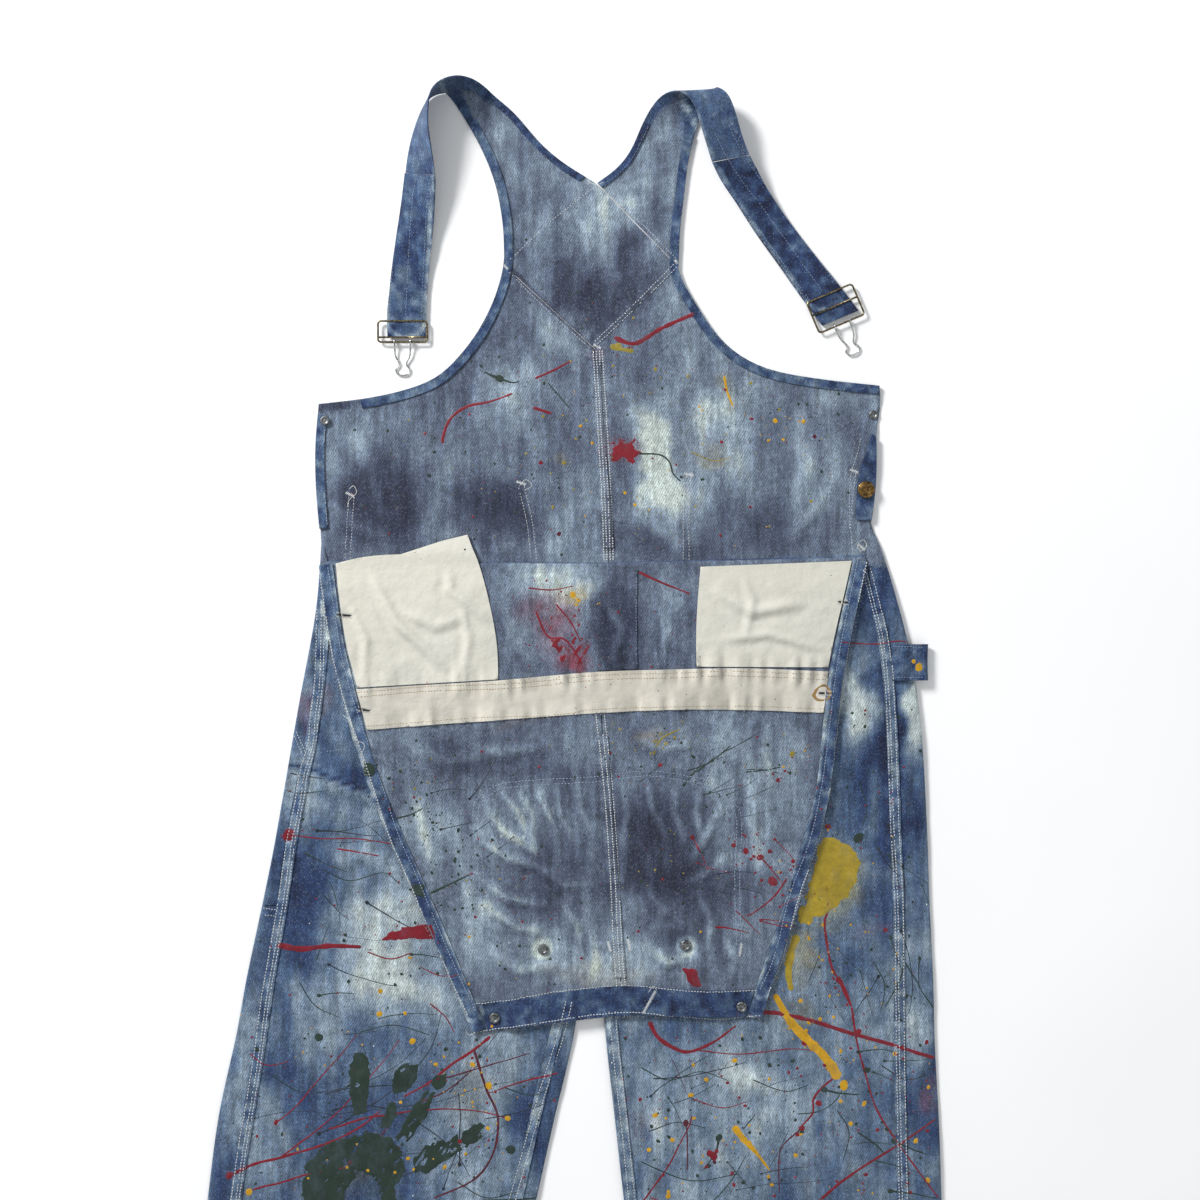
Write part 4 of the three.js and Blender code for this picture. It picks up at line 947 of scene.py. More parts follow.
def yoke_colours(x, y):
    """The inside of the back up to the shoulders, where the straps' outside turns up."""
    strap = washed(trim_wash(x, y, 0.34, 100, 0.2), OUTSIDE_RAMP)
    left = fade(x, 438, 446) * fade(y, 190, 200)
    right = smoothstep(x, 676, 684) * fade(y, 150, 190) * smoothstep(x - 0.35 * y, 622, 640)
    turned_up = np.maximum(left, right)
    for line in SHOULDER_EDGES:
        turned_up = np.maximum(turned_up, fade(along(x, y, line)[0], 8.0, 9.5))
    return blended(back_colours(x, y), strap, turned_up)


def waistband_colours(x, y):
    """Cotton with painted shade in the troughs of its gathers and painted light on their crests."""
    gather_shade = 0
    for line, width, _, pitch, seed in FLAP_PUCKERS[:2]:
        gather_shade = gather_shade + pucker(x, y, line, width, 1.0, pitch, seed)
    # the gathers' troughs are darkened as painted shade and their crests lightened as painted light
    return cotton_colour(x, y, (195, 191, 181), 95) * (1 + 0.34 * gather_shade)[:, None]


def cloth_colours(wash, co):
    """Colour of each point of a shell; a trim's wash is its paleness and its seed."""
    x, y = plan(co)
    z = co[:, 2] / MM
    if wash == "outside":
        return leg_colours(x, y)
    if wash == "back":
        rim = smoothstep(z, RIM_LOW, RIM_DONE) * smoothstep(y, 562, 570)
        return blended(back_colours(x, y), leg_colours(x, y), rim)
    if wash == "front":
        return blended(leg_colours(x, y), flap_colours(x, y), folded_over(x, y, z))
    if wash == "flap":
        return flap_colours(x, y)
    if wash == "yoke":
        return yoke_colours(x, y)
    if wash == "pocket":
        return cotton_colour(x, y, (203, 201, 191), 91)
    if wash == "waist":
        return waistband_colours(x, y)
    return washed(trim_wash(x, y, *wash), OUTSIDE_RAMP)


def cloth(node, layer, thickness, wash, material, cell):
    """The fine shell that stands for a cloth node."""
    rough = linked(node + "_rough", cad_sheet(node, thickness))
    smooth = rough.modifiers.new("smooth", "SUBSURF")
    smooth.levels = 2
    smooth.boundary_smooth = "PRESERVE_CORNERS"
    mesh = evaluated(rough, node)
    refined(mesh, cell_size(layer, cell))
    co = points_of(mesh)
    co[:, 2] += layer_rise(layer, co)
    set_wash(mesh, cloth_colours(wash, points_of(mesh)))
    mesh.vertices.foreach_set("co", co.ravel())
    thin = linked(node + "_thin", mesh)
    solidify = thin.modifiers.new("thickness", "SOLIDIFY")
    solidify.thickness = thickness * MM
    solidify.offset = -1
    shell = evaluated(thin, node + "_shell")
    shell.materials.clear()
    shell.materials.append(MATERIALS[material])
    shell.shade_smooth()
    shell.set_sharp_from_angle(angle=math.radians(62))
    piece = linked(node + "_cloth", shell)
    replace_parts(piece, node)
    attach(piece, "garment")
    return piece


BOTH = ("_left", "_right")
ONE = ("",)
CLOTH = [
    # node, its sides, layer, thickness in millimetres, wash or a trim's paleness, material,
    # cell, slot
    ("back", BOTH, "back", 1.2, "back", "inside", FINE, "outer_denim"),
    ("front", BOTH, "front", 1.2, "front", "outside", FINE, "outer_denim"),
    ("bib", BOTH, "flap", 1.2, "flap", "inside", 0.0032, "inner_denim"),
    ("bib_pocket", BOTH, "flap", 1.0, "flap", "outside", 0.008, "inner_denim"),
    ("back_pocket", BOTH, "under", 1.0, "outside", "outside", COARSE, "outer_denim"),
    ("shoulder", BOTH, "strap", 1.2, "yoke", "inside", 0.003, "strap_denim"),
    ("strap_left", ONE, "strap", 2.4, 0.34, "trim", 0.003, "strap_denim"),
    ("strap_right", ONE, "strap", 2.4, 0.15, "trim", 0.003, "strap_denim"),
    ("armhole_binding", BOTH, "strap", 0.8, 0.36, "trim", TRIM_CELL, "dark_denim"),
    ("neck_binding", BOTH, "strap", 0.8, 0.22, "trim", TRIM_CELL, "dark_denim"),
    ("side_hem_left", ONE, "strap", 0.8, 0.40, "trim", TRIM_CELL, "dark_denim"),
    ("button_stand_right", ONE, "strap", 1.2, 0.34, "trim", TRIM_CELL, "dark_denim"),
    ("back_centre_seam", ONE, "strap", 0.8, "yoke", "inside", TRIM_CELL, "outer_denim"),
    ("side_seam", BOTH, "leg", 0.8, 0.52, "outside", TRIM_CELL, "outer_denim"),
    ("inseam", BOTH, "leg", 0.8, 0.62, "outside", TRIM_CELL, "outer_denim"),
    ("rule_pocket", ONE, "leg", 1.0, "outside", "outside", 0.0026, "outer_denim"),
    ("hammer_loop", ONE, "leg", 1.6, 0.30, "outside", 0.0026, "outer_denim"),
    ("front_hem", BOTH, "flap", 1.0, 0.36, "trim", 0.0024, "inner_denim"),
    ("bib_centre_seam", ONE, "flap", 0.8, "flap", "inside", TRIM_CELL, "inner_denim"),
    ("bib_hem", ONE, "flap", 1.0, 0.25, "trim", 0.0026, "inner_denim"),
    ("waistband_facing", ONE, "flap", 1.0, "waist", "waist", 0.0018, "waist_cotton"),
    ("fly_facing", ONE, "flap", 1.0, "flap", "inside", 0.0026, "inner_denim"),
    ("pocket_bag", BOTH, "flap", 0.9, "pocket", "pocket", 0.0024, "pocket_cotton"),
]


def cloth_pieces():
    """Every cloth piece by the name of its node. Each trim has a seed of its own."""
    pieces = {}
    trim_seed = 100
    for name, sides, layer, thickness, wash, material, cell, slot in CLOTH:
        for side in sides:
            node = name + side
            own_wash = wash
            if isinstance(wash, float):
                trim_seed += 1
                own_wash = (wash, trim_seed)
            pieces[node] = cloth(node, layer, thickness, own_wash, material, cell)
    return pieces


PIECES = cloth_pieces()


# What lies on the cloth finds its height by looking down on it

def cloth_surface(pieces):
    points = []
    faces = []
    for piece in pieces:
        start = len(points)
        points.extend(v.co.copy() for v in piece.data.vertices)
        faces.extend([start + i for i in p.vertices] for p in piece.data.polygons)
    return BVHTree.FromPolygons(points, faces)


SURFACE = cloth_surface(PIECES.values())
SKY = 0.2
DOWNWARD = Vector((0, 0, -1))


def height_at(x, y):
    """Height of the cloth at a plan place, in metres, or None beside it."""
    place = SURFACE.ray_cast(spot(x, y, SKY), DOWNWARD)[0]
    return None if place is None else place.z


def shifted(line, offset, spacing=3.0):
    """A smooth line moved sideways, to its right as one goes along it."""
    points = eased(line, spacing)
    out = []
    for i, (x, y) in enumerate(points):
        ax, ay = points[max(0, i - 1)]
        bx, by = points[min(len(points) - 1, i + 1)]
        length = math.hypot(bx - ax, by - ay)
        out.append((x - (by - ay) / length * offset, y + (bx - ax) / length * offset))
    return out


def walk(line, step):
    """Places every `step` millimetres along a line, each with its direction."""
    carried = 0.0
    for (ax, ay), (bx, by) in zip(line[:-1], line[1:]):
        length = math.hypot(bx - ax, by - ay)
        while carried < length:
            t = carried / length
            yield ax + (bx - ax) * t, ay + (by - ay) * t, (bx - ax) / length, (by - ay) / length
            carried += step
        carried -= length


class Heap:
    """Points and faces gathered for one mesh."""

    def __init__(self):
        self.points = []
        self.faces = []

    def add(self, points, faces):
        start = len(self.points)
        self.points.extend(points)
        self.faces.extend([start + i for i in face] for face in faces)

    def piece(self, name, material, slot, body="garment"):
        mesh = bpy.data.meshes.new(name)
        mesh.from_pydata(self.points, [], self.faces)
        mesh.materials.append(material)
        mesh.shade_smooth()
        obj = linked(name, mesh)
        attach(obj, body)
        return obj


def circle(count):
    """Cosine and sine at even steps round a circle."""
    angles = [2 * math.pi * k / count for k in range(count)]
    return [(math.cos(angle), math.sin(angle)) for angle in angles]


def between_rings(first, second, count):
    """Faces between two closed rings of points that are numbered from first and from second."""
    faces = []
    for k in range(count):
        n = (k + 1) % count
        faces.append((first + k, first + n, second + n, second + k))
    return faces


# Sewing: short raised stitches that sink into the cloth at both ends

STITCH_SIDES = [(1, 0.1), (0, 1), (-1, 0.1), (0, -0.6)]
STITCH_STEEP = 1.5
STITCH_SUNK = 0.1
STITCH_RISE = 0.12
STITCH_ROUND = 0.32
SKIPPED = 0.03
BARTACK_STEP = 0.75
BARTACK_WIDTH = 4.0


def add_stitch(heap, x, y, dx, dy, length, width):
    """One stitch from its middle, its direction on the plan, and its size in millimetres."""
    half = length / 2
    ends = [height_at(x + s * half * dx, y + s * half * dy) for s in (-1, 1)]
    middle = height_at(x, y)
    if middle is None or None in ends or max(ends) - min(ends) > STITCH_STEEP * MM:
        return
    points = [spot(x - half * dx, y - half * dy, ends[0] - STITCH_SUNK * MM)]
    for share, size in ((-0.55, 0.9), (0.55, 0.9)):
        for side, up in STITCH_SIDES:
            across = size * side * width / 2
            points.append(spot(
                x + share * half * dx - across * dy, y + share * half * dy + across * dx,
                middle + STITCH_RISE * MM + size * up * STITCH_ROUND * width * MM,
            ))
    points.append(spot(x + half * dx, y + half * dy, ends[1] - STITCH_SUNK * MM))
    faces = [(0, 1 + (k + 1) % 4, 1 + k) for k in range(4)]
    faces += between_rings(1, 5, 4)
    faces += [(9, 5 + k, 5 + (k + 1) % 4) for k in range(4)]
    heap.add(points, faces)


def sew(heap, line, offset, pitch, width):
    """A row of stitches along a line, each a little uneven, a few worn away."""
    for x, y, dx, dy in walk(shifted(line, offset), pitch):
        if RNG.random() < SKIPPED:
            continue
        turn = RNG.normal(0, 0.06)
        add_stitch(
            heap, x + RNG.normal(0, 0.12), y + RNG.normal(0, 0.12), dx - turn * dy, dy + turn * dx,
            0.8 * pitch, width * RNG.uniform(0.85, 1.15),
        )


def bartack(heap, ax, ay, bx, by):
    """A dense zigzag of short stitches across a line."""
    for k, (x, y, dx, dy) in enumerate(walk([(ax, ay), (bx, by)], BARTACK_STEP)):
        lean = 0.35 if k % 2 else -0.35
        length = BARTACK_WIDTH * RNG.uniform(0.8, 1.1)
        add_stitch(heap, x, y, -dy + lean * dx, dx + lean * dy, length, 0.7)


ARMHOLE_LEFT = [
    (469, 129), (483, 156), (490, 166), (495, 182), (499, 203), (502, 223), (504, 244), (504, 260),
    (501, 276), (496, 295), (489, 313), (480, 331), (469, 344), (459, 358), (447, 370), (437, 380),
    (422, 385), (402, 392), (382, 396), (361, 400), (341, 402), (320, 403),
]
ARMHOLE_RIGHT = [
    (690, 152), (686, 174), (683, 199), (681, 219), (679, 233), (677, 246), (680, 258), (682, 272),
    (688, 289), (696, 305), (706, 323), (718, 340), (731, 352), (747, 362), (767, 370), (784, 376),
    (800, 381), (814, 386), (835, 390), (855, 391), (876, 386),
]
NECK_LEFT = [(492, 96), (508, 111), (524, 129), (541, 146), (559, 162), (575, 175), (592, 183)]
NECK_RIGHT = [(602, 179), (614, 171), (626, 158), (635, 142), (643, 125)]
STRAP_LEFT = [(424, 150), (417, 180), (413, 203), (410, 244), (408, 276), (406, 318)]
STRAP_RIGHT = [
    (714, 140), (726, 162), (743, 186), (759, 205), (775, 227), (792, 250), (806, 270), (822, 292),
]
INSEAM_LEFT = [
    (569, 1000), (562, 1030), (552, 1062), (540, 1100), (526, 1150), (512, 1200), (488, 1280),
    (462, 1380), (436, 1480), (408, 1600),
]
INSEAM_RIGHT = [
    (612, 1010), (616, 1050), (621, 1095), (625, 1130), (630, 1180), (640, 1280), (650, 1380),
    (660, 1480), (672, 1600),
]
BUTTON_STAND_LINE = [(868, 438), (863, 458), (858, 474), (856, 500), (856, 528)]
SIDE_HEM_LINE = [(325, 416), (325, 462), (326, 493), (328, 526)]

WHITE_SEAMS = [
    # line, offsets in millimetres, pitch, thread width
    (CENTRE_SEAM_BACK, (-4.4, -1.4, 1.8, 4.8), 2.6, 1.35),
    (CENTRE_SEAM_BIB, (-4.0, -0.4, 4.2), 2.6, 1.35),
    (SIDE_SEAM_LEFT, (-4.0, -1.0, 4.0), 3.1, 1.05),
    (SIDE_SEAM_RIGHT, (-4.0, 1.0, 4.0), 3.1, 1.05),
    (INSEAM_LEFT, (-3.0, 3.0), 3.1, 0.95),
    (INSEAM_RIGHT, (-3.0, 3.0), 3.1, 0.95),
    ([(597, 188), (552, 224), (510, 263)], (2.0,), 3.2, 0.65),
    ([(597, 188), (638, 224), (676, 262)], (-2.0,), 3.2, 0.55),
    ([(597, 343), (636, 306), (675, 267)], (1.6, -2.4), 3.1, 0.75),
    ([(512, 272), (550, 310), (592, 347)], (2.4,), 3.2, 0.6),
    ([(352, 498), (348, 562)], (-2.6, 2.6), 3.0, 0.6),
    ([(522, 488), (530, 524), (534, 560)], (-2.8, 2.8), 3.0, 0.6),
    ([(688, 478), (686, 520), (686, 562)], (-2.8, 2.8), 3.0, 0.6),
    ([(853, 474), (848, 520), (850, 552)], (-2.4,), 3.0, 0.6),
    (BUTTON_STAND_LINE, (7.0,), 3.0, 0.55),
    (SIDE_HEM_LINE, (0.0,), 3.0, 0.5),
    (FLAP_EDGE_LEFT, (6.0,), 3.0, 1.1),
    (FLAP_EDGE_RIGHT, (-6.0,), 3.0, 1.1),
    (BIB_HEM_TOP, (1.4,), 3.0, 0.9),
    (BIB_HEM_BOTTOM, (-3.0,), 3.0, 1.0),
    ([(262, 907), (277, 909)], (0.0, 6.5), 2.8, 0.8),
    ([(296, 733), (306, 755)], (-1.8, 1.8), 2.8, 0.8),
]
PALE_SEAMS = [
    # line, offsets in millimetres, pitch, thread width
    (ARMHOLE_LEFT, (8.0,), 3.2, 0.45),
    (ARMHOLE_RIGHT, (-8.0,), 3.2, 0.45),
    (NECK_LEFT, (5.6,), 3.2, 0.4),
    (NECK_RIGHT, (5.6,), 3.2, 0.4),
    (STRAP_LEFT, (0.0, -15.5, 15.5), 3.2, 0.45),
    (STRAP_RIGHT, (0.0, -15.5, 15.5), 3.2, 0.45),
    (BIB_POCKET_LEFT, (0.0, 5.0), 3.4, 0.75),
    (BIB_POCKET_RIGHT, (0.0, 5.0), 3.4, 0.75),
    (FLAP_EDGE_LEFT, (-3.0,), 3.0, 0.9),
    (FLAP_EDGE_RIGHT, (3.0,), 3.0, 0.9),
    ([(637, 570), (636, 613), (637, 668)], (0.0,), 3.0, 0.55),
    ([(346, 748), (306, 755)], (0.0,), 3.0, 0.5),
    ([(892, 646), (922, 647)], (0.0,), 2.8, 0.6),
    ([(892, 677), (920, 677)], (0.0,), 2.8, 0.6),
]
CREAM_SEAMS = [
    # line, offsets in millimetres, pitch, thread width
    (WAIST_TOP, (1.6, 6.2), 2.9, 0.85),
    (WAIST_BOTTOM, (-1.8,), 2.9, 0.7),
]
BARTACKS = [
    # x and y of one end, x and y of the other
    (501, 262, 508, 270), (675, 261, 681, 269), (592, 344, 601, 349), (347, 493, 355, 497),
    (517, 482, 526, 485), (684, 474, 693, 476), (858, 545, 866, 551), (655, 989, 643, 1011),
    (850, 470, 858, 473), (608, 940, 611, 950), (628, 938, 630, 949), (741, 942, 739, 954),
]


def thread_material(name, rgb):
    """Twisted thread, lighter and darker along its length."""
    material, tree, shader, where = new_material(name, 0.7, Sheen_Weight=0.15, Sheen_Roughness=0.5)
    ply = noise_texture(tree, where, 2600, 2.0)
    tone = in_range(tree, noise_texture(tree, where, 160), 0.3, 0.7, 0.8, 1.1)
    shade = calculate(tree, "MULTIPLY", tone, in_range(tree, ply, 0.3, 0.7, 0.85, 1.12))
    colour = add_node(tree, "ShaderNodeRGB").outputs[0]
    colour.default_value = (*linear(rgb), 1)
    tree.links.new(scaled_colour(tree, colour, shade), shader.inputs["Base Color"])
    tree.links.new(bump(tree, ply, 0.0002, 0.5), shader.inputs["Normal"])
    return material


SEWING = [
    # thread, colour, slot, seams
    ("white", (206, 210, 212), "outer_denim", WHITE_SEAMS),
    ("pale", (150, 166, 186), "dark_denim", PALE_SEAMS),
    ("cream", (176, 158, 122), "waist_cotton", CREAM_SEAMS),
]


def sewing():
    heaps = {}
    for thread, _, _, seams in SEWING:
        heaps[thread] = Heap()
        for line, offsets, pitch, width in seams:
            for offset in offsets:
                sew(heaps[thread], line, offset, pitch, width)
    for row in BARTACKS:
        bartack(heaps["white"], *row)
    for thread, rgb, slot, _ in SEWING:
        heaps[thread].piece("stitches_" + thread, thread_material("thread_" + thread, rgb), slot)


sewing()


# Paint: flat strokes, drops and patches that lie on the cloth as thin skins

def paint_material(name, rgb):
    """Dry paint: blotchy, worn thin in places, with the weave showing through."""
    material, tree, shader, where = new_material(name, 0.5, Specular_IOR_Level=0.35)
    worn = 0.55 * linear(rgb) + 0.45 * linear((92, 108, 124))
    weave = noise_texture(tree, stretched(tree, where, (1, 0.4, 1)), 900, 2.0, 0.65)
    tone = in_range(tree, noise_texture(tree, where, 90, 3.0), 0.3, 0.7, 0.78, 1.16)
    shade = calculate(tree, "MULTIPLY", tone, in_range(tree, weave, 0.3, 0.7, 0.84, 1.1))
    thin = noise_texture(tree, stretched(tree, where, (1, 0.5, 1), 30), 75, 4.0, 0.7)
    colour = add_node(tree, "ShaderNodeMix", {
        "Factor": in_range(tree, thin, 0.5, 0.72, 0.0, 0.42),
        "A": (*linear(rgb), 1), "B": (*worn, 1),
    }, data_type="RGBA").outputs["Result"]
    tree.links.new(scaled_colour(tree, colour, shade), shader.inputs["Base Color"])
    tree.links.new(bump(tree, weave, 0.0002, 0.45), shader.inputs["Normal"])
    return material


PAINT_COLOURS = {
    "red": (118, 20, 34), "maroon": (78, 26, 38), "yellow": (192, 146, 22),
    "mustard": (158, 136, 38), "ochre": (138, 124, 44), "green": (36, 52, 44),
    "ink": (30, 36, 46), "rust": (150, 118, 72), "white": (214, 214, 206), "pink": (150, 52, 62),
}
PAINT = {name: Heap() for name in PAINT_COLOURS}
SKIN = 0.16
# How far, in millimetres, the cloth may rise across a mark before the mark is left out
STROKE_STEEP = 6
DROP_STEEP = 2.5
PATCH_STEEP = 3
STROKE_STEP = 1.7
STROKE_PROFILE = [(-1, -0.9), (-0.62, 0.7), (0, 1), (0.62, 0.7), (1, -0.9)]
STROKE_WAVE = 5.5


def stroke_half(i, count, first, last, rough, seed):
    """Half the width at a step of a stroke: uneven on the way, rounded at both ends."""
    length = STROKE_STEP * (count - 1)
    t = i / (count - 1)
    wave = float(noise(np.array([i * STROKE_STEP / STROKE_WAVE]), np.array([seed * 3.7]), 7))
    half = 0.5 * (first + (last - first) * t) * (1 + rough * wave)
    end = min(t, 1 - t) * length
    if end < half:
        half *= math.sqrt(max(0.02, 1 - (1 - end / half) ** 2))
    return half


def stroke_row(x, y, nx, ny, half):
    """Points across a stroke, or None where it runs off the cloth."""
    row = []
    for side, up in STROKE_PROFILE:
        px, py = x + side * half * nx, y + side * half * ny
        z = height_at(px, py)
        if z is None:
            return None
        row.append(spot(px, py, z + SKIN * MM * up * min(1.5, 0.5 + 0.3 * half)))
    return row


def stroke(heap, line, first, last, rough=0.22, seed=0):
    """A painted line, its width in millimetres going from first to last."""
    points = eased(line, STROKE_STEP)
    count = len(points)
    verts = []
    faces = []
    joined = False
    for i, (x, y) in enumerate(points):
        ax, ay = points[max(0, i - 1)]
        bx, by = points[min(count - 1, i + 1)]
        reach = math.hypot(bx - ax, by - ay)
        half = stroke_half(i, count, first, last, rough, seed)
        row = stroke_row(x, y, -(by - ay) / reach, (bx - ax) / reach, half)
        if row is None:
            joined = False
            continue
        verts.extend(row)
        step = max(abs(a.z - b.z) for a, b in zip(row, verts[-10:-5])) if joined else 0
        if joined and step < STROKE_STEEP * MM:
            base = len(verts) - 10
            faces.extend((base + k, base + k + 1, base + k + 6, base + k + 5) for k in range(4))
        joined = True
    if faces:
        heap.add(verts, faces)


def drop(heap, x, y, radius, stretch, turn):
    """A round or long drop with an uneven rim."""
    top = height_at(x, y)
    if top is None:
        return
    spokes = 8 if radius < 1.2 else 14
    cos, sin = math.cos(turn), math.sin(turn)
    rims = []
    uneven = RNG.uniform(0.88, 1.12, spokes)
    for share, up in ((0.65, 0.8), (1.0, -0.9)):
        for wobble, (across, down) in zip(uneven, circle(spokes)):
            u = radius * share * wobble * stretch * across
            v = radius * share * wobble * down
            px, py = x + u * cos - v * sin, y + u * sin + v * cos
            z = height_at(px, py)
            if z is None:
                return
            rims.append(spot(px, py, z + SKIN * MM * up))
    if max(p.z for p in rims) - min(p.z for p in rims) > DROP_STEEP * MM:
        return
    sides = [(1 + k, 1 + (k + 1) % spokes) for k in range(spokes)]
    faces = [(b, a, 0) for a, b in sides]
    faces += [(b, spokes + b, spokes + a, a) for a, b in sides]
    heap.add([spot(x, y, top + 1.3 * SKIN * MM), *rims], faces)


def patch_face(around, values, gx, gy, corner):
    """Corners of the painted part of a cell, which is cut where the mask crosses 0."""
    face = []
    for a, b in zip(around, [*around[1:], around[0]]):
        if values[a] > 0:
            face.append(corner(a, gx[a], gy[a], values[a]))
        if (values[a] > 0) != (values[b] > 0):
            t = values[a] / (values[a] - values[b])
            x = gx[a] + (gx[b] - gx[a]) * t
            y = gy[a] + (gy[b] - gy[a]) * t
            face.append(corner((min(a, b), max(a, b)), x, y, 0))
    return face


def patch(heap, mask, box, cell=1.3):
    """A skin of paint wherever the mask, in millimetres inside its edge, is above 0."""
    left, top, right, bottom = box
    xs = np.arange(left, right + cell, cell)
    ys = np.arange(top, bottom + cell, cell)
    gx, gy = np.meshgrid(xs, ys)
    values = mask(gx, gy)
    points = []
    faces = []
    known = {}

    def corner(key, x, y, inside):
        if key not in known:
            z = height_at(x, y)
            known[key] = None if z is None else len(points)
            if z is not None:
                up = -0.5 if inside <= 0 else min(1.4, 0.6 + 0.3 * inside)
                points.append(spot(x, y, z + SKIN * MM * up))
        return known[key]

    for r in range(len(ys) - 1):
        for c in range(len(xs) - 1):
            around = [(r, c), (r, c + 1), (r + 1, c + 1), (r + 1, c)]
            face = patch_face(around, values, gx, gy, corner)
            if None in face or len(face) < 3:
                continue
            heights = [points[i].z for i in face]
            if max(heights) - min(heights) < PATCH_STEEP * MM:
                faces.append(tuple(reversed(face)))
    heap.add(points, faces)


# Every mark of paint, placed on the plan

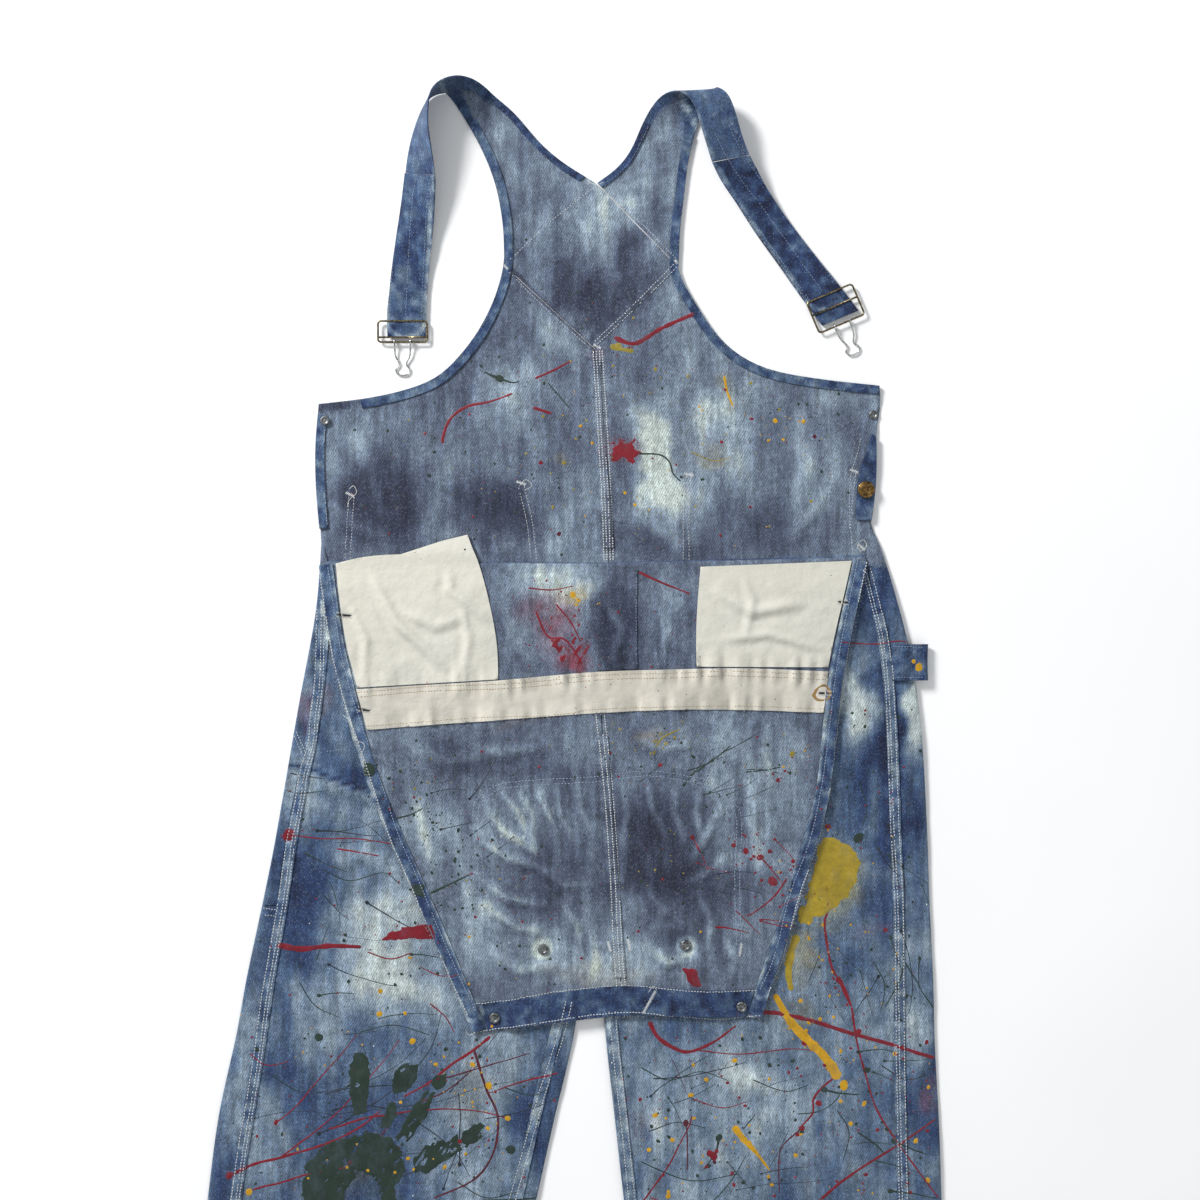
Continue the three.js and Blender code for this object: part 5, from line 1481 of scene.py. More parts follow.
STROKES = [
    # colour, line, width at its start, at its end
    ("red", [(614, 338), (635, 344), (661, 329), (694, 314)], 5.5, 4.5),
    ("ochre", [(610, 346), (618, 349), (634, 352)], 8, 4),
    ("red", [(535, 379), (553, 371), (572, 361)], 3.4, 2.2),
    ("red", [(443, 444), (444, 435), (451, 419), (467, 407), (490, 402), (513, 394)], 4.2, 2.4),
    ("red", [(533, 408), (552, 414)], 5, 2.8),
    ("green", [(484, 372), (492, 376), (500, 379)], 1.8, 4.5),
    ("green", [(500, 379), (512, 383), (520, 382)], 3.5, 1.0),
    ("green", [(548, 383), (558, 395), (570, 409)], 1.6, 1.2),
    ("green", [(638, 454), (659, 455), (669, 462), (673, 474), (681, 482)], 2.4, 1.6),
    ("yellow", [(724, 376), (727, 392), (733, 407)], 3.5, 2.0),
    ("ochre", [(690, 452), (712, 461), (731, 458)], 1.4, 0.9),
    ("red", [(638, 572), (662, 583), (690, 594)], 3.2, 1.6),
    ("red", [(536, 611), (548, 636), (566, 640), (583, 664)], 3.0, 2.0),
    ("red", [(556, 604), (571, 622), (581, 642)], 2.4, 1.4),
    ("red", [(528, 588), (552, 590), (574, 586)], 1.8, 1.2),
    ("red", [(786, 877), (773, 895), (753, 911), (745, 914)], 2.6, 1.6),
    ("ochre", [(653, 754), (661, 738), (680, 728)], 2.6, 1.6),
    ("green", [(686, 770), (708, 762), (731, 744)], 1.8, 1.2),
    ("green", [(431, 892), (452, 882), (471, 873)], 2.8, 1.8),
    ("green", [(394, 818), (410, 814), (424, 807)], 2.4, 1.4),
    ("red", [(290, 834), (322, 838), (356, 838), (392, 843)], 1.8, 1.2),
    ("red", [(337, 848), (358, 851), (380, 855)], 2.2, 1.2),
    ("red", [(278, 944), (302, 948), (330, 945), (362, 946)], 7.5, 5.0),
    ("red", [(368, 951), (391, 958), (412, 952)], 2.0, 1.2),
    ("red", [(231, 1174), (254, 1163), (283, 1155), (329, 1141), (361, 1125), (381, 1109)], 4.0, 2.0),
    ("red", [(491, 1035), (472, 1050), (452, 1063), (428, 1082), (404, 1095)], 4.0, 2.2),
    ("red", [(558, 1072), (524, 1080), (487, 1092)], 2.4, 1.4),
    (
        "maroon",
        [
            (474, 1047), (487, 1088), (498, 1115), (494, 1150), (475, 1177), (434, 1196),
        ], 3.4, 2.2,
    ),
    ("red", [(430, 1002), (446, 1016), (455, 1032)], 1.8, 1.2),
    ("mustard", [(797, 934), (791, 950), (788, 972), (791, 990)], 11, 7),
    ("yellow", [(774, 993), (789, 1019), (806, 1038), (822, 1053)], 8, 13),
    ("yellow", [(818, 1048), (830, 1064), (838, 1078)], 11, 15),
    ("red", [(823, 840), (827, 904), (824, 924), (830, 962), (836, 976)], 2.2, 3.2),
    ("red", [(836, 976), (841, 983), (851, 1006)], 7, 3),
    ("red", [(851, 1006), (856, 1039), (864, 1070), (876, 1108), (899, 1144), (938, 1197)], 2.8, 1.8),
    (
        "red",
        [(762, 1011), (782, 1013), (815, 1021), (853, 1033), (892, 1044), (934, 1057)], 5.5, 4.0,
    ),
    (
        "red",
        [(649, 1020), (658, 1036), (675, 1047), (690, 1050), (713, 1041), (735, 1025)], 6.5, 2.2,
    ),
    ("red", [(698, 1049), (739, 1053), (790, 1048), (815, 1050)], 1.6, 1.2),
    ("red", [(833, 1077), (822, 1086), (813, 1098), (812, 1112), (800, 1126)], 2.8, 2.2),
    ("maroon", [(800, 1128), (783, 1143), (778, 1158), (779, 1192)], 2.0, 1.2),
    ("green", [(796, 1113), (818, 1110), (836, 1098), (846, 1078)], 1.4, 1.2),
    ("red", [(820, 1197), (848, 1174), (897, 1144), (935, 1118)], 3.6, 2.0),
    ("red", [(820, 1197), (790, 1228), (742, 1262)], 3.0, 1.4),
    ("yellow", [(733, 1124), (743, 1137), (756, 1151), (769, 1168)], 10, 2),
    ("green", [(742, 1128), (752, 1116), (755, 1112)], 1.6, 1.2),
    ("red", [(840, 642), (872, 644), (898, 641), (920, 645)], 1.8, 1.4),
    ("green", [(270, 780), (296, 792), (331, 790)], 1.4, 0.9),
    ("green", [(322, 868), (350, 880), (384, 872), (401, 884)], 1.5, 0.9),
    ("green", [(300, 980), (316, 1004), (340, 1016)], 1.5, 1.0),
    ("green", [(360, 1031), (394, 1024), (431, 1034)], 1.5, 1.0),
    ("green", [(272, 1074), (300, 1090), (318, 1084)], 1.4, 0.9),
    ("green", [(504, 1086), (530, 1094), (548, 1088)], 1.6, 1.0),
    ("green", [(458, 1180), (487, 1196), (518, 1190)], 1.6, 1.0),
    ("green", [(640, 1066), (668, 1078), (700, 1070), (728, 1079)], 1.6, 0.9),
    ("green", [(648, 1130), (676, 1120), (706, 1126)], 1.5, 0.9),
    ("green", [(752, 1078), (784, 1090), (808, 1084)], 1.5, 0.9),
    ("green", [(836, 1108), (848, 1130), (842, 1160)], 1.5, 1.0),
    ("green", [(872, 960), (884, 984), (880, 1012)], 1.4, 0.9),
    ("green", [(858, 780), (866, 806), (862, 826)], 1.4, 0.9),
    ("green", [(640, 1160), (690, 1178), (738, 1172)], 1.6, 1.0),
    ("green", [(880, 1064), (904, 1078), (926, 1074)], 1.4, 0.9),
    ("red", [(690, 1096), (722, 1106), (748, 1100)], 1.4, 0.9),
    ("red", [(650, 1196), (686, 1206), (724, 1198)], 2.0, 1.2),
    ("red", [(420, 966), (441, 975), (459, 973)], 1.4, 0.9),
    ("red", [(250, 1052), (268, 1064), (290, 1060)], 1.6, 1.0),
    ("yellow", [(300, 1210), (332, 1226), (360, 1222)], 5, 2.5),
    ("red", [(330, 1296), (372, 1310), (410, 1300)], 3.2, 1.8),
    ("red", [(700, 1300), (752, 1322), (800, 1318)], 3.4, 1.8),
    ("green", [(250, 1400), (290, 1420), (322, 1412)], 2.4, 1.2),
    ("maroon", [(360, 1392), (396, 1412), (428, 1404)], 2.6, 1.6),
    ("red", [(760, 1440), (806, 1452), (852, 1440)], 2.8, 1.6),
    ("yellow", [(840, 1330), (856, 1362), (862, 1390)], 6, 3),
]

DROPS = [
    # colour, x, y, radius
    ("ochre", 618, 346, 3.4), ("red", 541, 463, 2.6), ("ochre", 564, 463, 2.4),
    ("maroon", 559, 534, 2.8), ("green", 580, 437, 1.8), ("green", 559, 488, 1.6),
    ("green", 430, 476, 2.0), ("green", 355, 430, 1.8), ("green", 435, 403, 1.6),
    ("green", 495, 464, 1.4), ("green", 526, 240, 1.6), ("green", 530, 303, 1.5),
    ("green", 499, 357, 1.5), ("green", 500, 379, 4.4), ("yellow", 775, 421, 2.6),
    ("yellow", 803, 422, 2.4), ("yellow", 768, 441, 1.8), ("yellow", 783, 440, 1.6),
    ("yellow", 625, 493, 1.8), ("yellow", 635, 505, 2.0), ("maroon", 814, 437, 2.6),
    ("red", 480, 145, 2.2), ("yellow", 573, 595, 3.6), ("yellow", 579, 601, 2.0),
    ("red", 708, 837, 2.6), ("red", 733, 844, 2.8), ("red", 745, 850, 3.2), ("red", 759, 856, 3.8),
    ("red", 769, 850, 2.6), ("red", 772, 880, 5.4), ("red", 792, 860, 2.4), ("red", 660, 764, 2.4),
    ("red", 777, 779, 2.2), ("red", 772, 773, 1.6), ("ochre", 791, 753, 3.0),
    ("red", 290, 834, 6.6), ("green", 320, 1036, 4.8), ("green", 446, 1048, 2.6),
    ("green", 480, 1055, 2.4), ("green", 511, 1148, 5.6), ("green", 258, 1048, 2.8),
    ("yellow", 381, 990, 3.0), ("yellow", 380, 1013, 3.2), ("yellow", 413, 1040, 3.4),
    ("yellow", 489, 1084, 4.8), ("yellow", 473, 1063, 3.0), ("yellow", 508, 1117, 3.2),
    ("yellow", 488, 1127, 2.6), ("yellow", 369, 1168, 3.2), ("yellow", 250, 1190, 4.0),
    ("red", 230, 1174, 4.4), ("yellow", 843, 1084, 5.4), ("green", 829, 1066, 4.0),
    ("green", 866, 1069, 3.6), ("red", 801, 1127, 3.4), ("red", 797, 1133, 2.6),
    ("maroon", 714, 1160, 2.2), ("red", 709, 1151, 3.2), ("red", 716, 1149, 2.8),
    ("green", 769, 1064, 2.6), ("green", 792, 1060, 2.2), ("red", 804, 1042, 3.4),
    ("red", 827, 826, 3.4),
    ("red", 713, 1154, 4.8), ("red", 885, 929, 2.4), ("green", 858, 837, 5.6),
    ("green", 612, 1063, 3.6), ("yellow", 917, 667, 4.4), ("yellow", 912, 661, 2.4),
    ("yellow", 387, 324, 3.2), ("yellow", 840, 1100, 2.2), ("yellow", 800, 1000, 2.6),
    ("red", 858, 1031, 3.4), ("red", 902, 1047, 3.4), ("red", 818, 1102, 3.6),
    ("green", 668, 1108, 2.4), ("green", 742, 1038, 2.0), ("yellow", 706, 1078, 2.4),
    ("yellow", 668, 1194, 2.8), ("red", 640, 1098, 2.2), ("red", 556, 1120, 2.4),
    ("green", 346, 934, 2.0), ("yellow", 310, 1176, 2.4), ("red", 460, 1140, 2.6),
    ("red", 428, 683, 1.6), ("yellow", 470, 935, 1.8), ("green", 641, 880, 2.0),
    ("green", 542, 845, 1.8), ("red", 610, 752, 1.8), ("yellow", 700, 930, 1.8),
    ("red", 694, 973, 4.0),
]

SPRAYS = [
    # colour, how many, left, top, right, bottom, smallest and largest radius
    ("green", 110, 330, 280, 860, 555, 0.7, 1.9), ("red", 44, 330, 280, 860, 555, 0.7, 1.8),
    ("yellow", 18, 560, 360, 840, 550, 0.7, 2.0), ("ochre", 44, 380, 300, 840, 550, 0.7, 2.2),
    ("green", 44, 500, 575, 690, 670, 0.4, 1.1), ("red", 46, 505, 575, 700, 668, 0.4, 1.4),
    ("green", 160, 390, 735, 800, 985, 0.7, 2.0), ("red", 56, 400, 735, 830, 985, 0.5, 1.6),
    ("green", 90, 250, 780, 440, 1200, 0.5, 2.2), ("red", 60, 250, 780, 450, 1200, 0.5, 1.8),
    ("yellow", 44, 240, 930, 560, 1200, 0.6, 2.6), ("green", 60, 430, 1030, 570, 1200, 0.5, 2.4),
    ("red", 40, 440, 1030, 570, 1200, 0.4, 1.5), ("green", 130, 620, 1030, 930, 1200, 0.5, 2.2),
    ("red", 90, 620, 1030, 930, 1200, 0.5, 2.4), ("yellow", 46, 640, 1030, 930, 1200, 0.6, 2.8),
    ("green", 70, 810, 700, 930, 1030, 0.5, 2.0), ("red", 44, 800, 700, 930, 1030, 0.4, 1.4),
    ("yellow", 30, 770, 820, 900, 1030, 0.5, 1.6), ("ink", 60, 250, 700, 930, 1200, 0.4, 1.2),
    ("white", 24, 260, 780, 930, 1200, 0.4, 0.9), ("pink", 24, 620, 1000, 930, 1200, 0.5, 1.3),
    ("green", 70, 200, 1200, 930, 1570, 0.5, 2.0), ("red", 60, 200, 1200, 930, 1570, 0.5, 2.2),
    ("yellow", 36, 200, 1200, 930, 1570, 0.5, 2.2),
]


THREADS = [
    # colour, how many, left, top, right, bottom, shortest, longest, width, direction, its spread
    ("ink", 10, 262, 760, 400, 1000, 30, 90, 0.9, 0, 20),
    ("green", 8, 262, 800, 420, 1100, 30, 80, 1.2, 10, 30),
    ("red", 4, 240, 1120, 340, 1190, 90, 190, 1.5, -24, 7),
    ("ink", 7, 250, 1090, 360, 1190, 90, 240, 1.0, -24, 9),
    ("maroon", 3, 330, 1060, 460, 1180, 70, 150, 1.4, -26, 9),
    ("ink", 6, 400, 1080, 520, 1190, 50, 120, 1.0, -50, 30),
    ("ink", 7, 640, 1050, 800, 1190, 50, 110, 0.9, -6, 14),
    ("green", 5, 650, 1060, 860, 1190, 20, 60, 1.5, 60, 50),
    ("maroon", 2, 650, 1050, 800, 1190, 40, 80, 1.4, 60, 40),
    ("green", 8, 840, 1020, 900, 1190, 20, 60, 1.6, 8, 14),
    ("ink", 9, 820, 760, 925, 1030, 40, 110, 0.9, 84, 18),
    ("green", 7, 820, 780, 925, 1030, 30, 90, 1.3, 70, 30),
    ("ink", 8, 700, 740, 820, 900, 16, 46, 0.8, -30, 30),
    ("green", 10, 620, 740, 760, 800, 14, 44, 1.1, -24, 16),
    ("ink", 6, 400, 780, 520, 900, 16, 50, 0.8, -24, 14),
    ("ink", 6, 360, 300, 840, 540, 16, 40, 0.6, 20, 60),
    ("red", 9, 690, 830, 800, 930, 14, 34, 1.6, 22, 30),
    ("ink", 16, 190, 1200, 930, 1560, 60, 170, 1.1, -16, 30),
    ("green", 16, 190, 1200, 930, 1560, 60, 170, 1.5, 16, 30),
    ("red", 10, 190, 1200, 930, 1560, 70, 180, 1.7, -24, 20),
]

SPLASHES = [
    # colour, x, y, spread, how many, largest radius, turn in degrees
    ("red", 745, 850, 24, 26, 2.8, 20), ("red", 772, 880, 20, 22, 2.6, -40),
    ("green", 640, 765, 34, 30, 1.4, -10), ("green", 710, 765, 26, 24, 1.6, -20),
    ("ochre", 668, 742, 20, 18, 2.2, -30), ("yellow", 790, 755, 18, 12, 2.0, 0),
    ("red", 565, 640, 34, 30, 2.0, 40), ("yellow", 576, 600, 12, 10, 1.8, 0),
    ("red", 623, 449, 18, 18, 2.2, 0), ("green", 500, 380, 26, 22, 1.5, 0),
    ("green", 450, 905, 22, 16, 1.6, -20), ("red", 300, 840, 22, 14, 1.8, 0),
    ("red", 400, 933, 30, 20, 2.0, 0), ("green", 360, 1150, 70, 46, 2.4, 0),
    ("yellow", 470, 1085, 30, 22, 2.6, 60), ("red", 470, 1060, 34, 20, 1.8, -40),
    ("yellow", 820, 1030, 34, 26, 2.8, 50), ("yellow", 812, 920, 26, 20, 2.6, 70),
    ("red", 840, 985, 26, 22, 2.4, 70), ("red", 720, 1040, 46, 26, 1.8, 0),
    ("red", 860, 1120, 50, 30, 2.2, -40), ("green", 860, 1000, 40, 30, 1.8, 0),
    ("green", 700, 1130, 60, 40, 2.2, 0), ("yellow", 745, 1140, 24, 14, 2.4, 50),
    ("green", 320, 1040, 40, 26, 2.0, 0), ("red", 880, 800, 22, 12, 1.6, 0),
    ("ochre", 480, 880, 40, 16, 1.4, 0), ("red", 520, 880, 50, 18, 1.2, 0),
    ("green", 425, 800, 36, 60, 2.0, 60), ("green", 446, 860, 44, 56, 2.0, 60),
    ("ochre", 420, 790, 26, 14, 1.8, 60), ("ochre", 640, 740, 36, 26, 1.8, 0),
    ("green", 660, 750, 50, 44, 1.6, 0), ("ochre", 660, 860, 50, 22, 1.5, 0),
    ("green", 740, 800, 40, 30, 1.6, 0), ("red", 790, 770, 22, 14, 1.8, 0),
    ("green", 600, 400, 70, 34, 1.4, 0), ("green", 440, 420, 60, 34, 1.6, 0),
    ("ochre", 500, 500, 60, 20, 1.4, 0), ("green", 560, 480, 50, 24, 1.4, 0),
    ("ochre", 600, 430, 60, 24, 1.6, 0), ("red", 640, 380, 60, 20, 1.4, 0),
    ("green", 780, 420, 44, 24, 1.4, 0), ("ochre", 640, 510, 30, 12, 1.5, 0),
    ("ochre", 640, 400, 50, 16, 1.3, 0), ("red", 500, 430, 50, 16, 1.3, 0),
    ("maroon", 790, 430, 40, 14, 1.4, 0), ("yellow", 790, 430, 22, 12, 1.6, 0),
    ("green", 880, 580, 20, 12, 1.0, 0), ("red", 500, 1240, 40, 16, 2.0, 0),
    ("yellow", 300, 1300, 40, 18, 2.4, 0), ("green", 780, 1280, 50, 20, 2.2, 0),
]


THREAD_STEP = 12


def thread_of_paint(heap, x, y, length, width, direction, spread):
    """A thin line of poured paint that bends as it goes."""
    heading = math.radians(direction + RNG.normal(0, spread))
    bend = RNG.normal(0, 0.005)
    line = [(x, y)]
    for _ in range(max(3, int(length / THREAD_STEP))):
        heading += THREAD_STEP * bend + RNG.normal(0, 0.06)
        bend += RNG.normal(0, 0.0009)
        x += THREAD_STEP * math.cos(heading)
        y += THREAD_STEP * math.sin(heading)
        line.append((x, y))
    width = width * RNG.uniform(0.6, 1.9)
    stroke(heap, line, width, 0.5 * width, seed=int(x))
    if RNG.random() < 0.5:
        drop(heap, *line[0], 1.3 * width, 1.3, heading)


def splash(heap, x, y, spread, count, large, turn):
    """Drops thrown round a place, the larger ones near it, longer along one direction."""
    cos, sin = math.cos(math.radians(turn)), math.sin(math.radians(turn))
    for _ in range(count):
        u, v = RNG.normal(0, spread), RNG.normal(0, 0.5 * spread)
        far = min(1.0, math.hypot(u, v) / spread)
        radius = large * (1 - 0.5 * far) * RNG.uniform(0.35, 1) ** 1.4
        drop(
            heap, x + u * cos - v * sin, y + u * sin + v * cos, max(0.6, radius),
            RNG.uniform(1, 1.7), math.radians(turn),
        )


def outline_distance(x, y, ring):
    """How far inside a closed outline each place lies, negative outside."""
    gap = along(x, y, [*ring, ring[0]])[0]
    inside = np.zeros(x.shape, bool)
    for (ax, ay), (bx, by) in zip(ring, [*ring[1:], ring[0]]):
        if ay == by:
            continue
        crosses = (ay > y) != (by > y)
        inside ^= crosses & (x < ax + (y - ay) * (bx - ax) / (by - ay))
    return np.where(inside, gap, -gap)


def dry_patch(ring, rough, gaps, seed):
    """Mask of a patch with a ragged rim, and with bare spots where `gaps` is above 0."""
    def mask(x, y):
        ragged_x = x + rough * clouds(x, y, 7.0, seed)
        ragged_y = y + rough * clouds(x, y, 7.0, seed + 4)
        bare = clouds(x + 0.6 * y, y * 0.45, 4.5, seed + 8) + 1.0 - 1.6 * gaps
        return np.minimum(outline_distance(ragged_x, ragged_y, ring), 2.2 * bare)
    return mask


def box_of(ring):
    """Left, top, right and bottom of an outline, with room for its ragged rim."""
    xs = [p[0] for p in ring]
    ys = [p[1] for p in ring]
    return min(xs) - 6, min(ys) - 6, max(xs) + 6, max(ys) + 6


PATCHES = [
    # colour, outline, ragged rim in millimetres, bare spots from 0 to 1
    (
        "mustard",
        [
            (817, 846), (823, 838), (841, 840), (853, 850), (859, 862), (858, 880), (846, 895),
            (836, 906), (820, 916), (806, 926), (797, 922), (800, 908), (808, 892), (813, 872),
        ], 4.5, 0.16,
    ),
    (
        "red",
        [
            (379, 938), (392, 931), (412, 925), (433, 922), (436, 938), (414, 938), (394, 940),
        ], 2, 0.05,
    ),
    ("red", [(682, 966), (697, 968), (702, 984), (694, 986), (686, 978)], 2, 0.1),
    (
        "red",
        [
            (607, 442), (613, 447), (620, 438), (626, 445), (635, 437), (634, 448), (641, 452),
            (632, 456), (634, 463), (622, 459), (611, 462), (613, 453),
        ], 5, 0.2,
    ),
    (
        "red",
        [
            (553, 606), (572, 604), (588, 626), (586, 650), (576, 672), (560, 662), (548, 640),
        ], 9, 0.74,
    ),
    ("green", [(364, 760), (378, 764), (376, 776), (366, 776)], 3, 0.2),
    ("green", [(412, 882), (427, 884), (426, 896), (414, 894)], 3, 0.2),
    (
        "green",
        [
            (303, 1206), (302, 1182), (310, 1158), (325, 1142), (348, 1134), (372, 1130), (392, 1135),
            (405, 1150), (404, 1168), (397, 1184), (401, 1206), (387, 1212), (381, 1190),
            (372, 1174), (358, 1168), (350, 1180), (343, 1198), (340, 1214), (322, 1222),
        ], 5, 0.28,
    ),
    (
        "green",
        [
            (351, 1064), (356, 1052), (364, 1050), (370, 1060), (371, 1086), (368, 1112),
            (355, 1113), (350, 1092),
        ], 3, 0.30,
    ),
    (
        "green",
        [
            (392, 1080), (400, 1066), (410, 1060), (420, 1063), (418, 1076), (408, 1091),
            (394, 1093),
        ], 3, 0.34,
    ),
    ("green", [(383, 1112), (389, 1101), (398, 1099), (397, 1114), (391, 1127), (381, 1127)], 3, 0.14),
    ("green", [(430, 1080), (437, 1072), (447, 1073), (446, 1084), (436, 1089)], 3, 0.14),
    (
        "green",
        [
            (420, 1094), (431, 1087), (436, 1092), (427, 1114), (414, 1134), (401, 1145),
            (396, 1138), (405, 1118),
        ], 3, 0.36,
    ),
    (
        "green",
        [
            (411, 1160), (424, 1146), (442, 1137), (459, 1135), (462, 1147), (446, 1160),
            (428, 1171), (414, 1173),
        ], 4, 0.38,
    ),
    ("green", [(461, 1138), (463, 1130), (478, 1121), (486, 1125), (482, 1137), (467, 1146)], 3, 0.34),
]


RUST_BOX = (806, 680, 838, 706)


def rust_ring(x, y):
    """Mask of the ring that a rusty button has left round the lowest buttonhole."""
    ragged = 2.2 * clouds(x, y, 6, 251)
    return 1.4 - np.abs(np.hypot((x - 821) / 1.15, y - 692.5) - 7.4 + ragged)


def paint_marks():
    for seed, (colour, line, first, last) in enumerate(STROKES):
        stroke(PAINT[colour], line, first, last, seed=seed)
    for colour, x, y, radius in DROPS:
        drop(PAINT[colour], x, y, radius, RNG.uniform(1, 1.3), RNG.uniform(0, math.pi))
    for colour, count, left, top, right, bottom, small, large in SPRAYS:
        for _ in range(count):
            radius = small + (large - small) * RNG.uniform() ** 2.2
            drop(
                PAINT[colour], RNG.uniform(left, right), RNG.uniform(top, bottom), radius,
                RNG.uniform(1, 1.5), RNG.uniform(0, math.pi),
            )
    for colour, count, left, top, right, bottom, short, long, *rest in THREADS:
        for _ in range(count):
            thread_of_paint(
                PAINT[colour], RNG.uniform(left, right), RNG.uniform(top, bottom),
                RNG.uniform(short, long), *rest,
            )
    for colour, *rest in SPLASHES:
        splash(PAINT[colour], *rest)
    for seed, (colour, ring, rough, gaps) in enumerate(PATCHES):
        patch(PAINT[colour], dry_patch(ring, rough, gaps, 200 + 11 * seed), box_of(ring))
    patch(PAINT["rust"], rust_ring, RUST_BOX, 1.0)


paint_marks()


# Buttonholes, loose threads and frayed edges

BUTTONHOLES = [
    # x, y, half length along x and y, of the slit in millimetres
    (346, 615, 7.5, 0.5), (366, 709, 6.0, 1.0), (841, 602, 5.0, 0.6), (823, 692.5, 6.5, 0.2),
]
LOOSE_THREADS = [
    [(343, 714), (352, 722), (357, 738), (366, 744), (361, 757)],
    [(583, 177), (592, 174), (603, 177), (611, 173)], [(586, 181), (596, 185), (604, 183)],
    [(860, 552), (866, 546), (863, 540), (857, 545), (861, 553)],
    [(349, 490), (354, 486), (357, 493), (350, 500), (348, 507)],
    [(519, 487), (526, 480), (532, 486), (524, 491)], [(684, 479), (692, 473), (689, 483)],
    [(476, 1030), (470, 1034), (466, 1029)], [(648, 990), (653, 984), (657, 989)],
]
FRAYED = [
    # line, offset from it in millimetres, fibres to a centimetre
    (STRAP_LEFT, 19.0, 7), (STRAP_LEFT, -19.0, 3), (STRAP_RIGHT, 19.0, 5), (STRAP_RIGHT, -19.0, 3),
    (FLAP_EDGE_LEFT, 8.4, 5), (FLAP_EDGE_RIGHT, -8.4, 4), (BIB_HEM_BOTTOM, 0.8, 4),
    (WAIST_TOP, -0.6, 3), (WAIST_BOTTOM, 1.0, 3), (ARMHOLE_LEFT, 1.0, 2), (ARMHOLE_RIGHT, -1.0, 2),
    (BUTTON_STAND_LINE, 12.0, 3),
]


FIBRE_HALF = 0.14


def fibre(heap, x, y, angle, length):
    """A thin stiff hair from a place on the cloth, lifting a little at its end."""
    base = height_at(x, y)
    if base is None:
        return
    dx, dy = math.cos(angle), math.sin(angle)
    rise = RNG.uniform(-0.2, 0.6)
    points = []
    for share, lift in ((0, 0.1), (0.55, 0.35), (1, 0.25 + rise)):
        px, py = x + share * length * dx, y + share * length * dy
        size = FIBRE_HALF * (1 - 0.5 * share)
        points.append(spot(px - dy * size, py + dx * size, base + lift * MM))
        points.append(spot(px + dy * size, py - dx * size, base + lift * MM))
        points.append(spot(px, py, base + (lift + size) * MM))
    heap.add(points, between_rings(0, 3, 3) + between_rings(3, 6, 3))


WHIP_STEP = 0.9
WHIP_OFFSET = 1.9


def buttonhole(slit_shadows, threads, x, y, along_x, along_y):
    """A worn slit, drawn as a near-black stroke of painted shadow, with whip stitches round it."""
    # the slit is a near-black stroke of painted shadow lying on the cloth
    stroke(slit_shadows, [(x - along_x, y - along_y), (x, y + 0.6), (x + along_x, y + along_y)], 3.4, 2.8, 0.3)
    reach = math.hypot(along_x, along_y)
    dx, dy = along_x / reach, along_y / reach
    steps = int(2 * reach / WHIP_STEP)
    for k in range(steps + 1):
        s = -reach + 2 * reach * k / steps
        for side in (-1, 1):
            px, py = x + s * dx - side * WHIP_OFFSET * dy, y + s * dy + side * WHIP_OFFSET * dx
            add_stitch(threads, px, py, -dy + 0.2 * RNG.normal(), dx, RNG.uniform(1.6, 2.8), 0.6)


def worn_edges():
    slit_shadows = Heap()
    threads = Heap()
    for row in BUTTONHOLES:
        buttonhole(slit_shadows, threads, *row)
    for line in LOOSE_THREADS:
        stroke(threads, line, 0.7, 0.5, 0.1)
    for line, offset, density in FRAYED:
        for x, y, dx, dy in walk(shifted(line, offset), 10 / density):
            out = math.atan2(dx, -dy) + (0 if offset > 0 else math.pi)
            x += RNG.normal(0, 0.6) - 1.0 * math.cos(out)
            y += RNG.normal(0, 0.6) - 1.0 * math.sin(out)
            fibre(threads, x, y, out + RNG.normal(0, 0.7), RNG.uniform(1.0, 3.4))
    # the slits' near-black strokes are painted shadow
    slit_shadows.piece("buttonhole_slits", thread_material("slit_painted_shadow", (9, 9, 12)), "inner_denim")
    threads.piece("loose_threads", thread_material("thread_loose", (206, 206, 200)), "outer_denim")


worn_edges()
for colour, heap in PAINT.items():
    if heap.faces:
        skin = paint_material("paint_" + colour, PAINT_COLOURS[colour])
        heap.piece("paint_" + colour, skin, "outer_denim")


# Hardware: finer forms of the CAD's buttons, rivets, slides and hooks

def metal(name, rgb, tarnish, roughness):
    """Worn metal: two tones of it in fine blotches, with small dents."""
    material, tree, shader, where = new_material(name, roughness, Metallic=1.0)
    blotches = noise_texture(tree, where, 420, 4.0, 0.65)
    mix = add_node(tree, "ShaderNodeMix", {
        "Factor": in_range(tree, blotches, 0.42, 0.6, 0.0, 1.0),
        "A": (*linear(rgb), 1), "B": (*linear(tarnish), 1),
    }, data_type="RGBA")
    tree.links.new(mix.outputs["Result"], shader.inputs["Base Color"])
    rough = in_range(tree, blotches, 0.35, 0.65, roughness - 0.1, roughness + 0.18)
    tree.links.new(rough, shader.inputs["Roughness"])
    tree.links.new(bump(tree, blotches, 0.0002, 0.35), shader.inputs["Normal"])
    return material


SPOKES = 44


